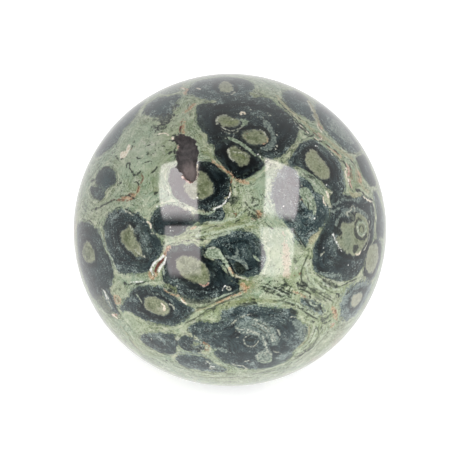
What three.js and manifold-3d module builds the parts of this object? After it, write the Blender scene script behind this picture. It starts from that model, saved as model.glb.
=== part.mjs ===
// A polished ball of kambaba jasper, turned from one piece of stone.
// It is one solid: a round ball with one natural hollow, an open vug that the polishing left
// unpolished, high on the side that the photograph shows.
//
// Units are millimetres, +Z is up, and the origin is in the middle of the spot that the ball rests on.
// The photographed side faces -Y and leans back, so places on it are read as right and up from the
// middle of the disc that the camera saw.
import * as THREE from "three";
import { mergeVertices } from "three/addons/utils/BufferGeometryUtils.js";
import Module from "manifold-3d";

// The ball
const DIAMETER = 60;
const REST_SPOT_DIAMETER = 6; // the small flat underneath, which is only 0.15 mm deep
const FACETS_ROUND = 72;
const FACETS_UP = 34;

// The vug
const CAMERA_HEIGHT_DEG = 40; // how far above the horizon the photographed side looks
const VUG_DEPTH = 1.6; // from the ball's surface to the floor, at the middle
const VUG_SLOPE_HEIGHT = 0.9; // the lower part of the wall, which slopes in
const VUG_SLOPE_RUN = 0.6; // how far in it comes
// Right and up on the photographed disc, clockwise from the topmost corner
const VUG_OUTLINE = [
  [-9.3, 18.4], [-8.3, 18.1], [-7.3, 17.6], [-6.6, 16.9], [-6.1, 15.7],
  [-5.8, 14.9], [-6.1, 13.8], [-6.4, 12.3], [-6.0, 11.5], [-6.1, 10.2],
  [-6.9, 9.2], [-7.7, 9.2], [-8.6, 9.9], [-9.4, 10.9], [-10.1, 11.8],
  [-10.2, 13.2], [-10.2, 14.8], [-9.9, 16.2], [-11.0, 17.0], [-10.5, 17.8],
];

const STONE_COLOUR = 0x66766a; // sage green ground and near-black eyes, averaged
const POLISH_ROUGHNESS = 0.08;

const radius = DIAMETER / 2;
const restRadius = REST_SPOT_DIAMETER / 2;
const centreHeight = Math.sqrt(radius ** 2 - restRadius ** 2);
const centre = new THREE.Vector3(0, 0, centreHeight);

const wasm = await Module();
wasm.setup();

// A closed three.js geometry as a solid that can be cut.
function solidOf(geometry) {
  const bare = new THREE.BufferGeometry();
  bare.setAttribute("position", geometry.getAttribute("position"));
  if (geometry.index) bare.setIndex(geometry.index);
  const merged = mergeVertices(bare, 1e-4);
  return new wasm.Manifold(
    new wasm.Mesh({
      numProp: 3,
      vertProperties: new Float32Array(merged.attributes.position.array),
      triVerts: new Uint32Array(merged.index.array),
    }),
  );
}

// A cut solid as a three.js geometry again.
function geometryOf(solid) {
  const mesh = solid.getMesh();
  const positions = new Float32Array(mesh.numVert * 3);
  for (let i = 0; i < mesh.numVert; i++) {
    const start = i * mesh.numProp;
    positions.set(mesh.vertProperties.subarray(start, start + 3), i * 3);
  }
  const geometry = new THREE.BufferGeometry();
  geometry.setAttribute("position", new THREE.BufferAttribute(positions, 3));
  geometry.setIndex(new THREE.BufferAttribute(mesh.triVerts, 1));
  geometry.computeVertexNormals();
  return geometry;
}

// The ball: half a circle turned about the upright axis, with its foot cut flat.
function ballGeometry() {
  const footAngle = Math.asin(restRadius / radius);
  const profile = [new THREE.Vector2(0, 0)];
  for (let i = 0; i < FACETS_UP; i++) {
    const angle = footAngle + ((Math.PI - footAngle) * i) / FACETS_UP;
    profile.push(
      new THREE.Vector2(
        radius * Math.sin(angle),
        centreHeight - radius * Math.cos(angle),
      ),
    );
  }
  profile.push(new THREE.Vector2(0, centreHeight + radius));
  return new THREE.LatheGeometry(profile, FACETS_ROUND).rotateX(Math.PI / 2);
}

// A place on the photographed side, from how far right and up it is on the disc.
function onPhotographedSide(right, up) {
  const lean = THREE.MathUtils.degToRad(CAMERA_HEIGHT_DEG);
  const towardsCamera = new THREE.Vector3(0, -Math.cos(lean), Math.sin(lean));
  const upOnDisc = new THREE.Vector3(0, Math.sin(lean), Math.cos(lean));
  const forward = Math.sqrt(radius ** 2 - right ** 2 - up ** 2);
  return centre
    .clone()
    .addScaledVector(new THREE.Vector3(1, 0, 0), right)
    .addScaledVector(upOnDisc, up)
    .addScaledVector(towardsCamera, forward);
}

// What is taken out of the ball: the vug's outline pushed straight in, narrower at the floor than
// at the mouth.
function vugGeometry() {
  const mouth = VUG_OUTLINE.map(([right, up]) => onPhotographedSide(right, up));
  const middle = mouth
    .reduce((sum, p) => sum.add(p), new THREE.Vector3())
    .divideScalar(mouth.length);
  const outward = middle.clone().sub(centre).normalize();
  const across = new THREE.Vector3(1, 0, 0).addScaledVector(outward, -outward.x).normalize();
  const along = outward.clone().cross(across);
  const outline = new THREE.Shape(
    mouth
      .map((p) => p.clone().sub(middle))
      .map((p) => new THREE.Vector2(p.dot(across), p.dot(along))),
  );
  const cutter = new THREE.ExtrudeGeometry(outline, {
    depth: VUG_DEPTH * 2, // clears the ball's surface
    bevelEnabled: true,
    bevelThickness: VUG_SLOPE_HEIGHT,
    bevelSize: VUG_SLOPE_RUN,
    bevelOffset: -VUG_SLOPE_RUN,
    bevelSegments: 2,
  });
  const surfaceAboveMiddle = radius - middle.distanceTo(centre);
  cutter.translate(0, 0, surfaceAboveMiddle - VUG_DEPTH + VUG_SLOPE_HEIGHT);
  return cutter.applyMatrix4(
    new THREE.Matrix4().makeBasis(across, along, outward).setPosition(middle),
  );
}

const stone = new THREE.Mesh(
  geometryOf(solidOf(ballGeometry()).subtract(solidOf(vugGeometry()))),
  new THREE.MeshStandardMaterial({
    color: STONE_COLOUR,
    roughness: POLISH_ROUGHNESS,
    metalness: 0,
    flatShading: true,
  }),
);
stone.name = "jasper_ball";

const object = new THREE.Group();
object.add(stone);

export default object;
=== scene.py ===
import math
import random

import bpy
import numpy as np
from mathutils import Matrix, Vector, kdtree, noise


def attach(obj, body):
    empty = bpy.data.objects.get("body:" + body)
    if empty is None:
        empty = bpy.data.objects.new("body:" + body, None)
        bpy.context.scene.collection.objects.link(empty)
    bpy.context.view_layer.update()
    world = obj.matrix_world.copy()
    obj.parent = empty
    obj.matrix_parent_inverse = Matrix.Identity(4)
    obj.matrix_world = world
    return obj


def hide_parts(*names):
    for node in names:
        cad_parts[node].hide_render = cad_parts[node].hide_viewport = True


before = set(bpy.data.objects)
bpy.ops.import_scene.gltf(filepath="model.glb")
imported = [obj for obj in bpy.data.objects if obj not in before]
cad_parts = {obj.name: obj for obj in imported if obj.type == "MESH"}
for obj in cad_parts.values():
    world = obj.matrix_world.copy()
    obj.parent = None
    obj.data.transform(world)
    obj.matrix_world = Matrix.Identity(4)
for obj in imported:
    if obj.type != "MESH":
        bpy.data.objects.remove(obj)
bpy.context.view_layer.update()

# The camera
# It looks down on the ball from 40 degrees, far enough off to see nearly half of it.
RADIUS = 0.030
REST_SPOT_RADIUS = 0.003
CAMERA_HEIGHT = math.radians(40)
CAMERA_DISTANCE = 3.0
centre = Vector((0, 0, math.sqrt(RADIUS**2 - REST_SPOT_RADIUS**2)))
to_camera = Vector((0, -math.cos(CAMERA_HEIGHT), math.sin(CAMERA_HEIGHT)))
disc_up = Vector((0, math.sin(CAMERA_HEIGHT), math.cos(CAMERA_HEIGHT)))
disc_right = Vector((1, 0, 0))


def put_in_scene(name, data):
    """A new object that holds the data."""
    made = bpy.data.objects.new(name, data)
    bpy.context.scene.collection.objects.link(made)
    return made


def face(thing, direction):
    """Turns a camera or a light so that it looks along the direction."""
    thing.rotation_mode = "QUATERNION"
    thing.rotation_quaternion = direction.to_track_quat("-Z", "Y")


camera = put_in_scene("camera", bpy.data.cameras.new("camera"))
camera.data.sensor_width = 36
camera.data.lens = 1224.7
camera.data.clip_end = 10
camera.location = centre + to_camera * CAMERA_DISTANCE
face(camera, -to_camera)
bpy.context.scene.camera = camera
bpy.context.scene.view_settings.view_transform = "Standard"

# The floor
# It is pale and glows a little, and the ball doesn't mirror it.
FLOOR_HALF = 6
floor_mesh = bpy.data.meshes.new("floor")
floor_corners = [(x * FLOOR_HALF, y * FLOOR_HALF, 0) for x, y in ((-1, -1), (1, -1), (1, 1), (-1, 1))]
floor_mesh.from_pydata(floor_corners, [], [(0, 1, 2, 3)])
floor = put_in_scene("floor", floor_mesh)
floor_material = bpy.data.materials.new("pale floor")
floor_material.use_nodes = True
floor_inputs = floor_material.node_tree.nodes["Principled BSDF"].inputs
floor_inputs["Base Color"].default_value = (0.93, 0.93, 0.925, 1)
floor_inputs["Roughness"].default_value = 0.9
floor_inputs["Specular IOR Level"].default_value = 0.2
floor_inputs["Emission Color"].default_value = (1, 1, 1, 1)
floor_inputs["Emission Strength"].default_value = 0.45
floor_mesh.materials.append(floor_material)
floor.visible_glossy = False

# The light
# A soft fill from the camera's side, four softboxes that mirror in the ball, and white all round behind.
fill = put_in_scene("soft fill", bpy.data.lights.new("soft fill", "AREA"))
fill.data.shape = "SQUARE"
fill.data.size = 2.4
fill.data.energy = 65.5
fill.location = centre + to_camera * 1.7 - disc_up * 0.1 + disc_right * 0.2
face(fill, centre - fill.location)
fill.visible_glossy = False
fill.visible_camera = False


def node_of(tree, kind, inputs=(), **settings):
    """A node's outputs; an input that is another node's output is linked, any other is set."""
    made = tree.nodes.new("ShaderNode" + kind)
    for name, value in settings.items():
        setattr(made, name, value)
    for name, value in dict(inputs).items():
        socket = made.inputs[name]
        if isinstance(value, bpy.types.NodeSocket):
            tree.links.new(value, socket)
        else:
            socket.default_value = (*value, 1) if socket.type == "RGBA" else value
    return made.outputs


def ranged(tree, value, low, high, at_low, at_high, **settings):
    """A value as it goes from low to high, brought to at_low and at_high."""
    limits = {"From Min": low, "From Max": high, "To Min": at_low, "To Max": at_high}
    return node_of(tree, "MapRange", {"Value": value, **limits}, **settings)["Result"]


def mirrored(right, up):
    """The direction that a place on the disc mirrors."""
    reach = math.hypot(right, up)
    double = 2 * math.asin(reach / (RADIUS * 1000))
    sideways = (disc_right * right + disc_up * up) / reach
    return to_camera * math.cos(double) + sideways * math.sin(double)


# Each softbox by where its corners mirror in the ball, in mm on the disc: top left, top right, bottom
# right, bottom left; then how bright it is, and how much of its height fades out at the foot
SOFTBOX_TINT = (1.0, 0.92, 0.93)
for name, corners, glow, fading in [
    ("softbox left upper", [(-12.95, 12.3), (-5.85, 13.3), (-5.8, 1.4), (-12.5, 1.5)], 8.9, 0.2),
    ("softbox left lower", [(-12.2, 0.75), (-5.5, 0.75), (-5.3, -8.9), (-11.2, -9.2)], 5.0, 0.15),
    ("softbox right upper", [(6.5, 13.6), (12.9, 11.0), (12.1, 1.5), (6.1, 2.2)], 8.9, 0.14),
    ("softbox right lower", [(5.6, 0.6), (12.0, 0.3), (11.1, -8.9), (5.7, -9.0)], 6.2, 0.12),
]:
    top_left, top_right, bottom_right, bottom_left = [mirrored(*corner) for corner in corners]
    fade_left = bottom_left.lerp(top_left, fading)
    fade_right = bottom_right.lerp(top_right, fading)
    ways = (bottom_left, bottom_right, fade_right, fade_left, top_right, top_left)
    panel_mesh = bpy.data.meshes.new(name)
    panel_mesh.from_pydata([centre + way for way in ways], [], [(0, 1, 2, 3), (3, 2, 4, 5)])
    lit = panel_mesh.attributes.new("lit", "FLOAT", "POINT")
    lit.data.foreach_set("value", [0, 0, 1, 1, 1, 1])
    panel = put_in_scene(name, panel_mesh)
    panel_material = bpy.data.materials.new(name)
    panel_material.use_nodes = True
    panel_tree = panel_material.node_tree
    panel_tree.nodes.clear()
    lit_here = node_of(panel_tree, "Attribute", attribute_name="lit")["Fac"]
    brightness = node_of(panel_tree, "Math", {0: lit_here, 1: glow}, operation="MULTIPLY")[0]
    glowing = node_of(panel_tree, "Emission", {"Color": SOFTBOX_TINT, "Strength": brightness})[0]
    node_of(panel_tree, "OutputMaterial", {"Surface": glowing})
    panel_mesh.materials.append(panel_material)
    panel.visible_camera = False
    panel.visible_diffuse = False
    panel.visible_shadow = False

world = bpy.data.worlds.new("studio")
world.use_nodes = True
bpy.context.scene.world = world
world_tree = world.node_tree
looking = node_of(world_tree, "TexCoord")["Generated"]
darkest_way = (to_camera + disc_up * 0.07).normalized()
facing = node_of(world_tree, "VectorMath", {0: looking, 1: darkest_way}, operation="DOT_PRODUCT")["Value"]
lighter_behind = ranged(world_tree, facing, low=0.78, high=-0.35, at_low=0.04, at_high=1.15)
dimmed_right_behind = ranged(world_tree, facing, low=-0.88, high=-1.0, at_low=1.0, at_high=0.87)
both = {0: lighter_behind, 1: dimmed_right_behind}
strength = node_of(world_tree, "Math", both, operation="MULTIPLY")[0]
background = world_tree.nodes["Background"]
background.inputs["Color"].default_value = (1, 1, 1, 1)
world_tree.links.new(strength, background.inputs["Strength"])

# The stone
# One ball of kambaba jasper: a fine-grained, silica-rich volcanic stone, sage green, with near-black
# round eyes that grew in it. It is sawn, ground round and polished; one natural hollow stays rough.

# Eyes on the photographed side: how pale each is, then its outline, right and up on the disc in mm
EYES = [
    (0.2, [(-6, 23.6), (-4, 24), (-1.5, 24.6), (2, 24.9), (5, 25.2), (7.4, 25), (9, 23.7), (10.6, 22.4),
        (12, 21), (12.9, 19.8), (12.6, 18.2), (12.3, 16.8), (11.2, 15.4), (9.6, 14.2), (7.6, 13.6),
        (6, 13.9), (5.4, 14.9), (4.5, 16), (3, 16.9), (1.5, 17.5), (-0.5, 17.8), (-3.3, 17.6), (-4.6, 18.2),
        (-5.5, 19.5), (-6.1, 21.4)]),
    (0, [(-1.2, 17.5), (0, 17), (1.2, 16.4), (2.8, 15.6), (4, 15), (4.9, 14.2), (6, 13.5), (6.4, 12.6),
        (5.4, 11.3), (4.4, 10.6), (3, 10), (2, 9.7), (1, 9.8), (-0.1, 10.4), (-1, 11.6), (-1.8, 12.6),
        (-2.5, 13.6), (-2.9, 14.8), (-3.1, 15.9), (-2.8, 16.8)]),
    (0.65, [(-8.2, 26.3), (-7, 27.6), (-6, 28.4), (-4, 28.9), (-1, 29.2), (1.5, 29), (3.4, 28.4),
        (4.3, 27.6), (4.2, 26.8), (3.6, 26.2), (4.2, 25.5), (3, 25.3), (0.5, 25.1), (-1.5, 24.9),
        (-3.5, 24.9), (-5.5, 25.3), (-6.8, 25.9)]),
    (0.4, [(-2.4, 25.1), (-1, 25.4), (2, 25.8), (3.8, 25.8), (4, 24.6), (1, 24.1), (-0.8, 24.2),
        (-2.4, 24.4)]),
    (0.1, [(-4.1, 18.3), (-1, 18.5), (1.4, 18), (3.2, 17.2), (4.8, 16.2), (5.6, 15.2), (5.8, 14.2),
        (4.6, 14), (2.6, 15.2), (0.6, 16.2), (-1.4, 16.8), (-3.5, 16), (-4.1, 17.2)]),
    (0.75, [(-16.3, 22.6), (-15.9, 23.8), (-15, 24.6), (-13.6, 25.3), (-12, 25.4), (-10.8, 25.7),
        (-9.8, 25.9), (-9.7, 25.3), (-10.4, 24.5), (-11, 23.7), (-11.2, 22.8), (-11.4, 21.8), (-12.1, 21.2),
        (-13, 20.9), (-13.7, 21.6), (-14.9, 21.8), (-15.8, 22.1)]),
    (0.5, [(-25.2, 14.2), (-24, 15), (-22.6, 16), (-21.8, 16.8), (-21, 18), (-20.4, 19.2), (-19.4, 20.3),
        (-18.6, 21.2), (-18, 22.2), (-17.4, 23.2), (-17, 24), (-18.5, 23.4), (-20.5, 21.3), (-22.6, 18.9),
        (-24.3, 16.7), (-25.6, 14.9)]),
    (0.55, [(10.4, 25.9), (11.4, 26.6), (13.2, 26.3), (14.6, 25.2), (15.1, 24.2), (15.7, 23.2), (16.3, 22),
        (16.4, 20.9), (15.2, 21.1), (13.8, 21.9), (12.4, 22.6), (11.2, 23.7), (10.4, 24.8)]),
    (0.65, [(16.9, 24.2), (18.6, 23.2), (20.4, 21.6), (21.9, 20), (23.2, 18.4), (24.4, 16.6), (24.9, 15.6),
        (24.4, 14.9), (23.2, 14.9), (22, 15.6), (20.5, 16.9), (19, 18.3), (18.1, 19.4), (17, 20.7),
        (16.5, 21.8), (16.2, 22.8)]),
    (0.1, [(24.2, 13.9), (25.6, 14.3), (26.4, 13), (27, 11.5), (27.6, 10), (27.9, 8.9), (27.2, 8.3),
        (26.4, 9.1), (25.6, 10.1), (25, 11.4), (24.6, 12.6)]),
    (0.32, [(13.8, 16.6), (15.2, 17), (16.6, 16.6), (18, 15.6), (19.4, 14.5), (20.6, 13.2), (21.2, 11.6),
        (21.5, 9.8), (21.9, 8), (21.4, 6.8), (20.2, 6.6), (19.2, 7.4), (18.2, 8.4), (17.4, 9.6),
        (15.9, 10.3), (14.8, 11.2), (13.6, 11.9), (12.2, 12.3), (11.2, 12.8), (11.8, 13.9), (12.2, 15),
        (12.8, 15.9)]),
    (0.9, [(11, 12.3), (12.2, 11.6), (12.9, 10.3), (14.2, 9.9), (15.3, 9.1), (16, 7.6), (17, 6.9),
        (17.8, 5.6), (18.8, 4.4), (19, 3), (18.2, 1.4), (17.3, 0), (16, -0.8), (15.1, -1.6), (14.9, -2.3),
        (13.8, -2.8), (12.9, -1.8), (12.2, -0.2), (11.2, 0.8), (10.2, 2), (9.2, 3.6), (8.4, 5.4), (8, 7.2),
        (8.4, 9), (9.4, 10.8)]),
    (0.1, [(-5.8, 12.8), (-4.2, 12.9), (-3, 12.6), (-2, 11.9), (-1, 11.1), (-0.2, 10.3), (0, 9.4), (0.1, 8),
        (0.1, 6.6), (-0.5, 5.4), (-1.6, 4.6), (-3, 4.2), (-3.8, 3.6), (-4.6, 3.4), (-5.4, 4), (-6.2, 4.3),
        (-7, 4.5), (-8.3, 5), (-9.4, 5.7), (-10.4, 6.8), (-11.1, 8.2), (-11.5, 9.8), (-11.2, 11.2),
        (-10.3, 12.1), (-7.5, 13.2)]),
    (0.3, [(-15.1, 2), (-14.2, 3.4), (-12.9, 4.4), (-11.5, 4.6), (-10.5, 4.5), (-9.2, 4.1), (-7.6, 3.2),
        (-6.8, 1.6), (-7, 1), (-8.2, 0.6), (-9.2, -0.4), (-10.6, -0.8), (-12.4, -0.9), (-13.6, -0.7),
        (-14.6, 0), (-15.1, 1)]),
    (0.35, [(-6.6, 2.8), (-5, 2.8), (-4, 3.3), (-3.2, 3.9), (-2.2, 4.2), (-1.3, 4.1), (-0.9, 3.2),
        (-1.4, 2.2), (-2.2, 1.7), (-3.4, 1.9), (-5.2, 1.7), (-6.4, 1.6)]),
    (0.55, [(-21, 3.8), (-19.6, 3.7), (-18.2, 3.1), (-17, 2.4), (-15.9, 1.7), (-15.1, 0.5), (-14.7, -0.4),
        (-13.9, -1), (-13.3, -2.2), (-12.9, -3.2), (-13.1, -4.4), (-13.9, -5.3), (-14.7, -6.4),
        (-15.4, -7.5), (-16.4, -7.9), (-18, -8), (-19.6, -8.1), (-21.2, -7.7), (-22.3, -6.7), (-22.8, -5.2),
        (-23.3, -3.8), (-23.6, -2.6), (-23.8, -1.2), (-23.8, 0.2), (-23.6, 1.6), (-23, 2.8), (-22.2, 3.4)]),
    (0.35, [(-28.5, 1.5), (-27.3, 1.3), (-26, 0.4), (-25.1, -0.7), (-24.4, -2.2), (-23.8, -3.8), (-23, -5),
        (-22.5, -6.4), (-22.3, -8), (-22.6, -9.6), (-23, -11.2), (-23.6, -12), (-24.6, -12.8),
        (-26.2, -12.8), (-27.4, -10.4), (-28.3, -8), (-28.9, -5), (-29.2, -2), (-29.2, 0.2)]),
    (0.7, [(-24.4, -11), (-23.3, -11.2), (-22.6, -12.3), (-22.1, -13.6), (-21.5, -15), (-21.6, -15.7),
        (-22.5, -15.4), (-23.2, -14.2), (-23.9, -12.7)]),
    (0.25, [(-23.9, 11.7), (-22.8, 11.5), (-22.2, 10.8), (-21.9, 9.8), (-22.2, 8.9), (-22.8, 8.3),
        (-23.6, 7.6), (-24.5, 7.5), (-25.2, 8.2), (-25.7, 9.3), (-25.4, 10.4), (-24.9, 11.3)]),
    (0.2, [(-26.6, 8), (-25.4, 8.2), (-24.2, 7.6), (-23.7, 7), (-24.6, 6.1), (-25.4, 6.2), (-26.2, 7)]),
    (0.15, [(-11.8, -3.6), (-10, -3), (-7.4, -2.8), (-5.4, -3.1), (-5, -4.6), (-3.6, -5.4), (-2.2, -6),
        (-1.2, -7.1), (-0.3, -8.5), (0.4, -9.6), (1.8, -10.4), (1.6, -11.5), (0.4, -12.2), (-2.4, -12.8),
        (-5.2, -13.4), (-7.6, -13.3), (-9.5, -12.3), (-11, -11.3), (-12.2, -10.2), (-12.7, -8.8),
        (-12.5, -7), (-12.2, -5.2)]),
    (0.4, [(-4.8, -3), (-3, -1.8), (-1.4, -0.9), (0.4, -0.3), (2.3, -0.2), (4, -0.7), (5.2, -1.6), (6, -3),
        (6.4, -4.8), (6.4, -6.4), (5.6, -7.8), (4.4, -8.5), (2.6, -8.8), (1.2, -8.3), (0.4, -7),
        (-0.5, -5.8), (-1.3, -4.6), (-2.2, -3.5), (-3.4, -3.3)]),
    (0.15, [(-5.4, -3.3), (-4.4, -2.9), (-2, -2.6), (0, -4.6), (1, -7.5), (2, -9), (1.5, -10.4), (0, -9.4),
        (-1.2, -7), (-3, -5.8), (-5, -4.8)]),
    (0.5, [(-18.6, -11.8), (-17.6, -11.2), (-16, -10.8), (-14.4, -10.8), (-13, -11), (-12, -11.9),
        (-10.8, -12.6), (-9.6, -13.4), (-8.6, -14.3), (-7.2, -15), (-7.4, -15.6), (-8.1, -16.4),
        (-9, -17.2), (-10.2, -17.9), (-11.6, -18), (-13.4, -17.8), (-15.2, -17.4), (-16.4, -16.9),
        (-17.8, -16.2), (-19, -15.4), (-20.8, -15.2), (-21.2, -14.8), (-20.4, -14.2), (-19.8, -13.4),
        (-19.2, -12.9)]),
    (0.6, [(-7.4, -18.2), (-6.2, -17.6), (-4.8, -17.5), (-3, -17.7), (-1.8, -17.1), (-1.2, -15.8), (0, -15),
        (1.6, -14.6), (3.6, -14.3), (5.2, -14.5), (7.2, -14.8), (9.2, -15), (10.4, -15.2), (11.6, -15),
        (12.4, -15.5), (12.5, -16.6), (13.2, -17.6), (14.3, -18.6), (14.6, -19.8), (13.9, -21), (12.9, -22),
        (12, -22.8), (11.5, -23.9), (10.8, -24.8), (9, -25.6), (7.4, -26.2), (5.2, -26.5), (3, -26.3),
        (1.5, -26), (0.2, -25.5), (-1.1, -25), (-2.2, -24.4), (-2.9, -23.4), (-3.2, -22.5), (-4.3, -21.7),
        (-5.4, -21), (-6.5, -20.4), (-7.5, -19.5)]),
    (0.5, [(-16.6, -20.2), (-15.4, -19.8), (-13.8, -19.7), (-12.2, -19.8), (-10.8, -20), (-10.2, -20.8),
        (-10, -22), (-10.2, -23.2), (-11, -23.7), (-12.4, -23.5), (-13.8, -23), (-15, -22.4),
        (-16.2, -21.6), (-16.8, -20.8)]),
    (0.4, [(-9.9, -21), (-8.8, -20.2), (-7.4, -20.3), (-6.2, -20.8), (-5.2, -21.5), (-4.9, -22.4),
        (-5.4, -23.2), (-6.6, -23.3), (-8.2, -23), (-9.6, -22.4)]),
    (0.72, [(-9.9, -23.9), (-8.2, -23.8), (-6.2, -23.9), (-4.9, -24.3), (-3.9, -24.8), (-3, -25.4),
        (-2, -26), (-0.9, -26.6), (-1.4, -27), (-3.2, -26.9), (-5.4, -26.7), (-7.5, -26.3), (-9.4, -25.6),
        (-10.2, -24.8)]),
    (0.32, [(19, 6.7), (20.4, 7), (22.2, 6.8), (24, 6), (25.4, 6.2), (26.8, 5.8), (27.5, 4.5), (27.7, 3),
        (27.6, 1.5), (27.5, 0), (27.3, -1.5), (26.8, -2.7), (26.2, -4.4), (25.8, -5.6), (25.4, -7),
        (24.6, -8.1), (23.8, -8.9), (22.6, -9.4), (21.2, -9.5), (19.6, -9.4), (18.2, -8.8), (17, -8.2),
        (16.1, -7.4), (15.9, -6), (16, -4.6), (16.1, -3.2), (16.6, -2), (17.2, -0.8), (17.6, 0.2),
        (18.2, 1.2), (18.8, 2.8), (19.2, 4.4), (19.2, 5.6)]),
    (0.4, [(27.2, -2.4), (26.2, -3.4), (25.9, -5), (25.7, -6.6), (25.3, -7.8), (25.8, -9), (26.8, -9.6),
        (27.6, -8.8), (28.2, -7.4), (28.7, -5.6), (28.9, -3.8), (28.8, -2), (28.2, -1.6)]),
    (0.4, [(27.4, 7.6), (28.6, 5.8), (29.4, 2.6), (29.5, 0.4), (29.2, -1.4), (28.1, -1.2), (27.9, 1),
        (28, 3), (27.7, 5)]),
    (1.5, [(25.4, -9.8), (24.8, -10), (23.6, -10.6), (22.4, -11.6), (21.6, -12.9), (21.2, -14.2),
        (21.2, -15.4), (21.4, -16.4), (22.2, -17), (23.2, -16.6), (24.4, -15.6), (25.8, -13.6),
        (26.6, -11.8), (26.9, -10.4), (26.2, -9.9)]),
    (1, [(14, -13), (15, -13.3), (16.2, -13.9), (17.2, -14.6), (17.6, -15.6), (16.6, -15.4), (15.4, -14.9),
        (14.4, -14.4), (13.9, -13.8)]),
]

# The cores of those eyes: how pale each is, then its outline
CORES = [
    (0.85, [(-2.3, 27.6), (-1.6, 28.4), (-0.4, 28.4), (0.4, 27.8), (0.7, 27), (0.4, 26.4), (-0.4, 26.2),
        (-1.4, 26.3), (-2.1, 26.9)]),
    (0.5, [(-2.5, 21.2), (-1.8, 21.8), (-0.6, 21.7), (0.6, 21.4), (1.6, 21), (1.9, 20.5), (1.4, 19.9),
        (0.4, 19.6), (-0.8, 19.6), (-1.8, 19.9), (-2.4, 20.5)]),
    (0.5, [(2.2, 18), (2.6, 18.9), (3.4, 19.1), (4.6, 19.2), (5.8, 19.1), (6.6, 18.6), (7.2, 17.8),
        (7.4, 17), (6.8, 16.5), (5.6, 16.2), (4.2, 16.2), (3, 16.8), (2.3, 17.3)]),
    (0.45, [(-0.5, 14.8), (-0.1, 15.6), (0.8, 16.1), (1.4, 15.8), (2.6, 15), (3.4, 14.5), (3.8, 13.6),
        (3.6, 12.9), (2.9, 12.2), (2, 12.2), (0.9, 12.9), (0, 13.6), (-0.4, 14.2)]),
    (0.78, [(14.3, 14), (14.8, 15), (15.8, 15.3), (16.6, 14.8), (17.2, 13.8), (18.2, 12.8), (18.9, 11.7),
        (19.1, 10.6), (18.6, 9.8), (17.6, 9.5), (16.6, 10.2), (15.4, 11.3), (14.6, 12.5), (14.3, 13.3)]),
    (0.35, [(-8.8, 8.2), (-8.4, 9.6), (-7, 11.1), (-5.8, 11.4), (-4.7, 11), (-3.9, 9.8), (-3.2, 8.9),
        (-3, 7.8), (-3.5, 6.8), (-4.4, 6), (-5.6, 5.7), (-7, 6), (-8.2, 6.8)]),
    (0.55, [(-20.9, -0.9), (-20.6, -0.1), (-19.8, 0.3), (-19.2, 0.9), (-18.7, 0.4), (-18.2, -0.4),
        (-17.8, -1.4), (-17.2, -2.4), (-16.9, -3.6), (-16.4, -4.8), (-16.4, -5.3), (-17.4, -5.2),
        (-18.2, -5), (-18.8, -4.2), (-19.6, -3.6), (-20.3, -2.8), (-20.8, -1.9)]),
    (0.5, [(-27.6, -2.2), (-26.8, -2.3), (-26.2, -3.2), (-25.8, -4.4), (-25.7, -5.6), (-26.6, -6.3),
        (-27.6, -6), (-28.2, -4.8), (-28.2, -3.4)]),
    (0.4, [(-9.9, -5.2), (-8.4, -4.9), (-6.6, -5.2), (-5.2, -6.2), (-4.4, -7.2), (-3.9, -8.6), (-4, -9.8),
        (-4.9, -10.5), (-6.4, -10.3), (-8, -9.5), (-9.4, -8.4), (-10.3, -6.9)]),
    (0.7, [(-16.2, -12.8), (-14.6, -12.7), (-13.2, -13), (-12.2, -13.8), (-11.6, -14.8), (-11.6, -15.8),
        (-12.4, -16.3), (-14, -16.1), (-15.4, -15.4), (-16.2, -14.6), (-16.4, -13.7)]),
    (0.72, [(20.2, -1.6), (20.5, -2.6), (21.2, -3.6), (22, -4.4), (23, -4.8), (24, -4.9), (25, -4.2),
        (25.7, -3), (26.4, -1.4), (26.6, 0.2), (26.3, 1.6), (25.6, 2.7), (24.6, 3.3), (23.9, 2.9),
        (23.7, 1.8), (23, 1.3), (22, 1.5), (21.2, 1.3), (21, 0.4), (21.3, -0.4), (20.8, -0.9)]),
    (0.85, [(26.5, -3.2), (27.3, -2.6), (28.2, -3), (28.4, -5), (27.9, -7), (27.2, -8.2), (26.4, -8.2),
        (25.9, -7.2), (26, -5.2)]),
    (1, [(23.5, -12.4), (24.2, -12), (25.1, -11.9), (25.3, -12.6), (24.8, -13.8), (24, -14.6),
        (23.3, -14.7), (23.1, -14), (23.2, -13.1)]),
]

# The hollow's edge, as in the CAD part
HOLLOW = [
    (-9.3, 18.4), (-8.3, 18.1), (-7.3, 17.6), (-6.6, 16.9), (-6.1, 15.7), (-5.8, 14.9), (-6.1, 13.8),
    (-6.4, 12.3), (-6, 11.5), (-6.1, 10.2), (-6.9, 9.2), (-7.7, 9.2), (-8.6, 9.9), (-9.4, 10.9),
    (-10.1, 11.8), (-10.2, 13.2), (-10.2, 14.8), (-9.9, 16.2), (-11, 17), (-10.5, 17.8),
]

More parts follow.
